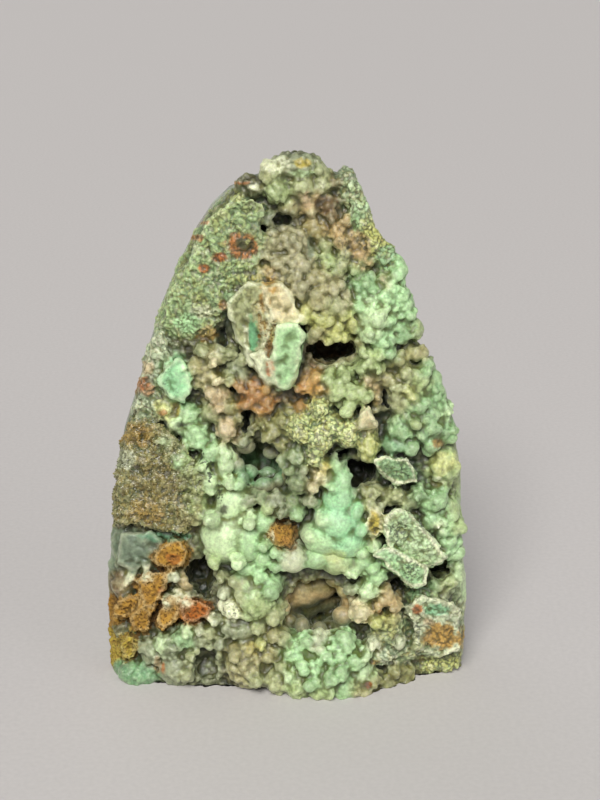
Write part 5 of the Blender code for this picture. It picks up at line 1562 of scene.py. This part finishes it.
def grow_beads(made, seed):
    """Let rounded growths cover the front and join them to it."""
    points, normals = vertex_points(made), vertex_normals(made)
    _, traits, nearest, kinds = belonging(points)
    hollow_wall = np.array([kind == "cavity" for kind in kinds])[nearest]
    open_to_air = np.where(hollow_wall, 1.0, in_the_open(points, normals))
    give_attribute(made, "grapes", eased(traits[:, 0], 0.35, 0.6) * open_to_air)
    give_attribute(made, "beads", traits[:, 1] * open_to_air)
    give_attribute(made, "grains", traits[:, 2] * open_to_air)
    tree = bpy.data.node_groups.get("botryoids") or botryoid_tree()
    use_tree(made, tree, {"Seed": seed, "Stone": stone_material("waxy_smithsonite")})


def roughen(made, traits, lobed):
    """Give a skin its lobes, its small crystal heads and its pits."""
    give_attribute(made, "lobes", traits[:, 3] * lobed)
    give_attribute(made, "grit", traits[:, 4])
    give_attribute(made, "pits", traits[:, 5])
    tree = bpy.data.node_groups.get("stone_relief") or relief_tree()
    use_tree(made, tree, {"Stone": stone_material("waxy_smithsonite")})


def fragment_rims(points, across, up):
    """How much of a white rim shows at each point of the angular pieces."""
    shown = np.zeros(len(points))
    uneven = 0.4 + 0.5 * lattice_noise(points, 2.0, 12)
    for fragment in FRAGMENTS.values():
        left, right, low, high = outline_box(fragment.outline)
        here = (across > left - 2) & (across < right + 2) & (up > low - 2) & (up < high + 2)
        if here.any():
            aside = outline_distance(across[here], up[here], fragment.outline)
            behind = behind_face(points[here], across[here], up[here], fragment)
            near_face = eased(np.abs(behind), 3.0, 1.5)
            near_rim = eased(np.abs(aside + uneven[here]), 1.1, 0.4)
            shown[here] = np.maximum(shown[here], near_face * near_rim * fragment.rim)
    return shown


def paint(made, points, colours, traits, recess_shade_share=1.0):
    """Give a growth its colours: patches, painted highlights on convex rims, painted shade in
    creases and browner painted shade in recesses.
    """
    normals, ends = vertex_normals(made), edge_ends(made)
    seen_across, up = layout_place(points)
    across = held_in(seen_across, up)
    at_edge = eased(np.abs(seen_across - across), 0.0, 2.5)
    wobble = 0.25 * lattice_noise(points, 2.4, 5) + 0.22 * lattice_noise(points, 1.0, 6)
    behind = depth_behind(points)
    near_front = np.maximum(eased(behind, 9.0, 5.0), at_edge)
    plain = np.zeros(len(points))
    for row in PATCHES:
        share = patch_share(across, up, wobble, row) * near_front
        plain = np.maximum(plain, share)
        colours = toward(colours, row[4], share)
    colours = toward(colours, "white", fragment_rims(points, across, up))
    specks = np.zeros(len(points))
    for row in SPECKLED:
        specks = np.maximum(specks, patch_share(across, up, wobble, row) * near_front)
    cloud = 0.16 * lattice_noise(points, 6.0, 8) + 0.12 * lattice_noise(points, 2.0, 9)
    colours = colours * (1.0 + cloud)[:, None]
    # Painted highlight: convex rims and bead tops are made paler, as if lit through the translucent
    # stone
    fine = roundness(points, normals, ends, 4)
    broad = roundness(points, normals, ends, 24)
    rim = np.clip(fine / 0.1, -1.0, 1.0) * 0.4 + np.clip(broad / 0.8, -1.0, 1.0) * 0.7
    pale = colours * 0.75 + tone_colour("white") * 0.25
    # Share of the painted highlight: less on the pitted limonite and on the coloured patches
    waxy = (1.0 - np.clip(traits[:, 5], 0.0, 1.0)) * (1.0 - 0.7 * plain)
    colours = colours + (pale - colours) * (np.clip(rim, 0.0, 1.0) * waxy)[:, None] * 0.6
    # Painted shade: concave creases between the lobes and beads are darkened
    crease_shade = np.clip(-rim, 0.0, 1.0)[:, None]
    colours = colours * (1.0 - crease_shade * np.array((0.78, 0.79, 0.93)))
    # Painted shade: points that lie behind the mean front around them are darkened towards brown
    recess_shade = (eased(behind, 0.8, 6.5) * recess_shade_share * (1.0 - 0.85 * at_edge))[:, None]
    colours = colours * (1.0 - recess_shade * np.array((0.84, 0.85, 0.94)))
    give_colour(made, colours)
    give_attribute(made, "specks", specks * (1.0 - 0.8 * plain))
    give_attribute(made, "grit", traits[:, 4])
    give_attribute(made, "mottle", traits[:, 6] * (1.0 - 0.8 * plain))


def triangle_corners(made):
    """The three vertices of every triangle."""
    return read_rows(made.data.polygons, "vertices", 3, np.int32)


def give_materials(made, names, of_face=None):
    """Give an object materials, and each face the number of its own."""
    made.data.materials.clear()
    for name in names:
        made.data.materials.append(stone_material(name))
    if of_face is not None:
        made.data.polygons.foreach_set("material_index", of_face.astype(np.int32))


def give_growth_materials(made, kinds, nearest):
    """Give each face the material of what it belongs to."""
    of_kind = np.array([{"druse": 1, "pitted": 2}.get(kind, 0) for kind in kinds])
    of_face = of_kind[nearest[triangle_corners(made)]].max(axis=1)
    give_materials(made, ("waxy_smithsonite", "drusy_smithsonite", "earthy_limonite"), of_face)


def finish_form(made, triangles):
    """Thin an object out, flatten what reaches below the sawn base, and return its points."""
    thin_out(made, triangles)
    points = vertex_points(made)
    points[:, 2] = np.maximum(points[:, 2], 0.0)
    move_vertices(made, points)
    return points


def settle(made, node):
    """Shade a finished piece smoothly, hang it from the root and hide the solid that it stands in
    for.
    """
    made.data.polygons.foreach_set("use_smooth", np.ones(len(made.data.polygons), bool))
    made.data.update()
    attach(made, "root")
    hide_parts(node)


class SPECIMEN_OT_sawn_body(bpy.types.Operator):
    """Build the sawn and polished body of the stone with its hollows."""

    bl_idname = "specimen.sawn_body"
    bl_label = "Sawn body"
    bl_options = {"REGISTER", "UNDO"}

    def execute(self, context):
        body = new_object("sawn_body", fill_body)
        take_out(body, fill_hollows)
        points = finish_form(body, BODY_TRIANGLES)
        walls = np.zeros(len(points), bool)
        colours = same_tone("matrix", points)
        for hollow in all_hollows():
            near_wall = hollow_feature(hollow).distance(points, None, None) < WALL_REACH
            walls |= near_wall
            colours[near_wall] = tone_colour(hollow.tone)
        # Painted shade: the walls of the hollows are darkened below their tones
        give_colour(body, colours * WALL_PAINTED_SHADE)
        give_attribute(body, "grit", walls * WALL_GRIT)
        on_wall = walls[triangle_corners(body)].all(axis=1)
        give_materials(body, ("polished_breccia", "waxy_smithsonite"), on_wall)
        settle(body, "smithsonite_rock")
        return {"FINISHED"}


class SPECIMEN_OT_growths(bpy.types.Operator):
    """Build the broken and overgrown front of the stone, in three pieces from the base up."""

    bl_idname = "specimen.growths"
    bl_label = "Growths"
    bl_options = {"REGISTER", "UNDO"}

    def execute(self, context):
        shape = context.scene.specimen_shape
        for turn, (name, low, high) in enumerate(GROWTH_BANDS):
            growth = new_object(name, fill_growth(low, high))
            join_skin(growth, LUMP_CELL, 1)
            make_ragged(growth)
            take_out(growth, fill_hollows)
            grow_beads(growth, shape.seed + turn)
            join_skin(growth, BEAD_CELL)
            points = vertex_points(growth)
            if len(points) == 0:
                raise RuntimeError(f"{name} has no skin")
            roughen(growth, belonging(points)[1], in_the_open(points, vertex_normals(growth)))
            points = finish_form(growth, GROWTH_TRIANGLES)
            colours, traits, nearest, kinds = belonging(points)
            paint(growth, points, colours, traits)
            give_growth_materials(growth, kinds, nearest)
            settle(growth, "smithsonite_rock")
        return {"FINISHED"}


def fill_lining(row):
    """Return a filler for a lining: rounded lumps along the wall of a hollow, and larger mounds."""
    def fill(work):
        rng = random.Random(row.seed)
        centre, _, turn = hollow_place(row.hollow)
        for step in range(row.lumps):
            along = 1.0 - 1.5 * (step + 0.5) / row.lumps
            ring = math.sqrt(1.0 - along * along)
            angle = step * GOLDEN_ANGLE
            spoke = Vector((ring * math.cos(angle), along, ring * math.sin(angle)))
            radius = rng.uniform(row.smallest, row.largest)
            wall = Vector(hollow_size(row.hollow, -0.6)) * spoke
            size = [radius * rng.uniform(0.85, 1.2) for _ in range(3)]
            add_ball(work, centre + turn @ wall, size, 3)
        for across, up, depth, radius in row.mounds:
            add_ball(work, sighted(across, up, depth), (radius, radius * 0.8, radius * 0.8), 4)
    return fill


# Linings: node, hollow, seed, lumps, smallest and largest radius, mounds (across,
# up, depth, radius), rounds of smoothing, slot, piece and tones from the top down
Lining = namedtuple(
    "Lining", "node hollow seed lumps smallest largest mounds rounds slot piece tones")

LININGS = (
    Lining("lower_hollow_crust", LOWER_HOLLOW, 5, 64, 2.6, 3.9, (
        (5, 38, -10.5, 9.2), (11.5, 40.5, -10, 7.8), (0, 34, -12, 7), (6, 32.5, -9, 7.4),
        (12.5, 34, -7, 6), (4, 25.5, -18, 3.6),
    ), 30, "brown_lining", "lower_hollow_lining", (
        ("olive_brown", 0.9), ("tan", 0.4), ("matrix", -0.05), ("dark_olive", -0.4),
    )),
    Lining("central_hollow_crust", CENTRAL_HOLLOW, 11, 60, 2.2, 3.8, (
        (-15, 96, -17, 3.8), (-6, 93.5, -14, 3.2), (-14, 86, -15, 3.6), (-7, 85.5, -13, 3.4),
    ), 12, "teal_lining", "central_hollow_lining", (
        ("matrix", 0.9), ("grey_green", 0.35), ("deep_mint", -0.05), ("matrix", -0.6),
    )),
)


def lining_traits(lining):
    """The surface traits of a hollow's wall for every vertex."""
    return np.tile(np.array(KINDS["cavity"]), (len(lining.data.vertices), 1))


class SPECIMEN_OT_linings(bpy.types.Operator):
    """Build the rounded linings of the two large hollows."""

    bl_idname = "specimen.linings"
    bl_label = "Hollow linings"
    bl_options = {"REGISTER", "UNDO"}

    def execute(self, context):
        for row in LININGS:
            lining = new_object(row.piece, fill_lining(row))
            join_skin(lining, LINING_CELL, row.rounds)
            roughen(lining, lining_traits(lining), LINING_LOBES)
            points = finish_form(lining, LINING_TRIANGLES)
            high = (points[:, 2] - hollow_place(row.hollow)[0].z) / row.hollow.half_height
            high += 0.25 * lattice_noise(points, 5.0, 3)
            colours = same_tone(row.tones[0][0], points)
            for tone, below in row.tones[1:]:
                colours = toward(colours, tone, eased(high, below + 0.25, below - 0.25))
            paint(lining, points, colours, lining_traits(lining), 0.0)
            give_materials(lining, ("waxy_smithsonite",))
            settle(lining, row.node)
        return {"FINISHED"}


class SPECIMEN_OT_crystals(bpy.types.Operator):
    """Scatter small upright crystals over the olive skin left of the middle."""

    bl_idname = "specimen.crystals"
    bl_label = "Small crystals"
    bl_options = {"REGISTER", "UNDO"}

    def execute(self, context):
        shape = context.scene.specimen_shape
        source = bpy.data.objects["middle_growth"]
        crystals = source.copy()
        crystals.data = source.data.copy()
        crystals.name = "druse_crystals"
        crystals.parent = None
        for key in [key for key in crystals.keys() if key.startswith("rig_")]:
            del crystals[key]
        context.scene.collection.objects.link(crystals)
        points = vertex_points(crystals)
        _, _, nearest, kinds = belonging(points)
        on_druse = np.array([kind == "druse" for kind in kinds])[nearest]
        facing = vertex_normals(crystals)[:, 1] < 0.2
        give_attribute(crystals, "crystals", on_druse * facing)
        use_tree(crystals, bpy.data.node_groups.get("crystals") or crystal_tree(), {
            "Spacing": shape.crystal_size * 0.95, "Stone": stone_material("drusy_smithsonite"),
        })
        if len(crystals.data.vertices) == 0:
            raise RuntimeError("no crystals were scattered")
        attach(crystals, "root")
        return {"FINISHED"}


def soft_light(name, place, aim, size, power, colour):
    """Add a large square light that points at a place."""
    light = bpy.data.lights.new(name, "AREA")
    light.shape = "SQUARE"
    light.size = size
    set_light(light, place, aim, power, colour)


def far_light(name, place, aim, angle, power, colour):
    """Add a wide far light, which is as strong all over the floor."""
    light = bpy.data.lights.new(name, "SUN")
    light.angle = angle
    set_light(light, place, aim, power, colour)


def set_light(light, place, aim, power, colour):
    """Put a light in its place, pointed at its aim."""
    light.energy = power
    light.color = colour
    made = bpy.data.objects.new(light.name, light)
    made.location = place
    made.rotation_euler = (Vector(aim) - Vector(place)).to_track_quat("-Z", "Y").to_euler()
    bpy.context.scene.collection.objects.link(made)


class SPECIMEN_OT_stage(bpy.types.Operator):
    """Build the plain floor, the soft lights and the camera."""

    bl_idname = "specimen.stage"
    bl_label = "Stage"
    bl_options = {"REGISTER", "UNDO"}

    def execute(self, context):
        scene, stage = context.scene, context.scene.specimen_stage
        work = bmesh.new()
        bmesh.ops.create_grid(work, size=stage.floor_reach, x_segments=1, y_segments=1)
        mesh = bpy.data.meshes.new("floor")
        work.to_mesh(mesh)
        work.free()
        floor = bpy.data.objects.new("floor", mesh)
        scene.collection.objects.link(floor)
        floor.data.materials.append(stone_material("matt_painted_board"))
        middle = (0.0, -0.02, 0.1)
        warm, cool, cooler = (1.0, 0.985, 0.96), (0.98, 0.98, 1.0), (0.97, 0.98, 1.0)
        far_light("main_light", (-0.12, -0.72, 0.75), middle, 0.5, stage.main_light, warm)
        far_light("back_light", (-0.5, 0.8, 0.55), middle, 1.0, stage.back_light, cool)
        soft_light("fill_light", (0.7, -0.6, 0.35), middle, 0.6, stage.fill_light, cooler)
        world = bpy.data.worlds.new("surroundings")
        scene.world = world
        world.use_nodes = True
        around = world.node_tree.nodes["Background"]
        around.inputs["Color"].default_value = (0.96, 0.97, 1.0, 1.0)
        around.inputs["Strength"].default_value = stage.surroundings
        camera = bpy.data.cameras.new("camera")
        camera.sensor_fit = "VERTICAL"
        camera.sensor_height = 36.0
        camera.lens = stage.lens
        made = bpy.data.objects.new("camera", camera)
        made.location = (EYE + SLIDE) * MM
        made.rotation_euler = (math.radians(70.0), 0.0, 0.0)
        scene.collection.objects.link(made)
        scene.camera = made
        scene.view_settings.view_transform = "Standard"
        return {"FINISHED"}


class SPECIMEN_PT_panel(bpy.types.Panel):
    """Sidebar panel with the specimen's sizes, colours and steps."""

    bl_idname = "SPECIMEN_PT_panel"
    bl_label = "Smithsonite specimen"
    bl_space_type = "VIEW_3D"
    bl_region_type = "UI"
    bl_category = "Specimen"

    def draw(self, context):
        layout = self.layout
        for group in SETTINGS:
            settings = getattr(context.scene, group)
            column = layout.column(align=True)
            for name in settings.__annotations__:
                column.prop(settings, name)
        for step in STEPS:
            layout.operator(step.bl_idname)


STEPS = (
    SPECIMEN_OT_sawn_body,
    SPECIMEN_OT_growths,
    SPECIMEN_OT_linings,
    SPECIMEN_OT_crystals,
    SPECIMEN_OT_stage,
)
SETTINGS = {
    "specimen_shape": SpecimenShape,
    "specimen_colours": SpecimenColours,
    "specimen_stage": SpecimenStage,
}


def register():
    """Add the settings, the steps and the panel."""
    for name, settings in SETTINGS.items():
        bpy.utils.register_class(settings)
        setattr(bpy.types.Scene, name, PointerProperty(type=settings))
    for step in STEPS:
        bpy.utils.register_class(step)
    bpy.utils.register_class(SPECIMEN_PT_panel)


def unregister():
    """Take away what register added."""
    bpy.utils.unregister_class(SPECIMEN_PT_panel)
    for step in reversed(STEPS):
        bpy.utils.unregister_class(step)
    for name, settings in SETTINGS.items():
        delattr(bpy.types.Scene, name)
        bpy.utils.unregister_class(settings)


def main():
    """Build the specimen and its stage."""
    register()
    bpy.ops.specimen.sawn_body()
    bpy.ops.specimen.growths()
    bpy.ops.specimen.linings()
    bpy.ops.specimen.crystals()
    bpy.ops.specimen.stage()


if __name__ == "__main__":
    main()
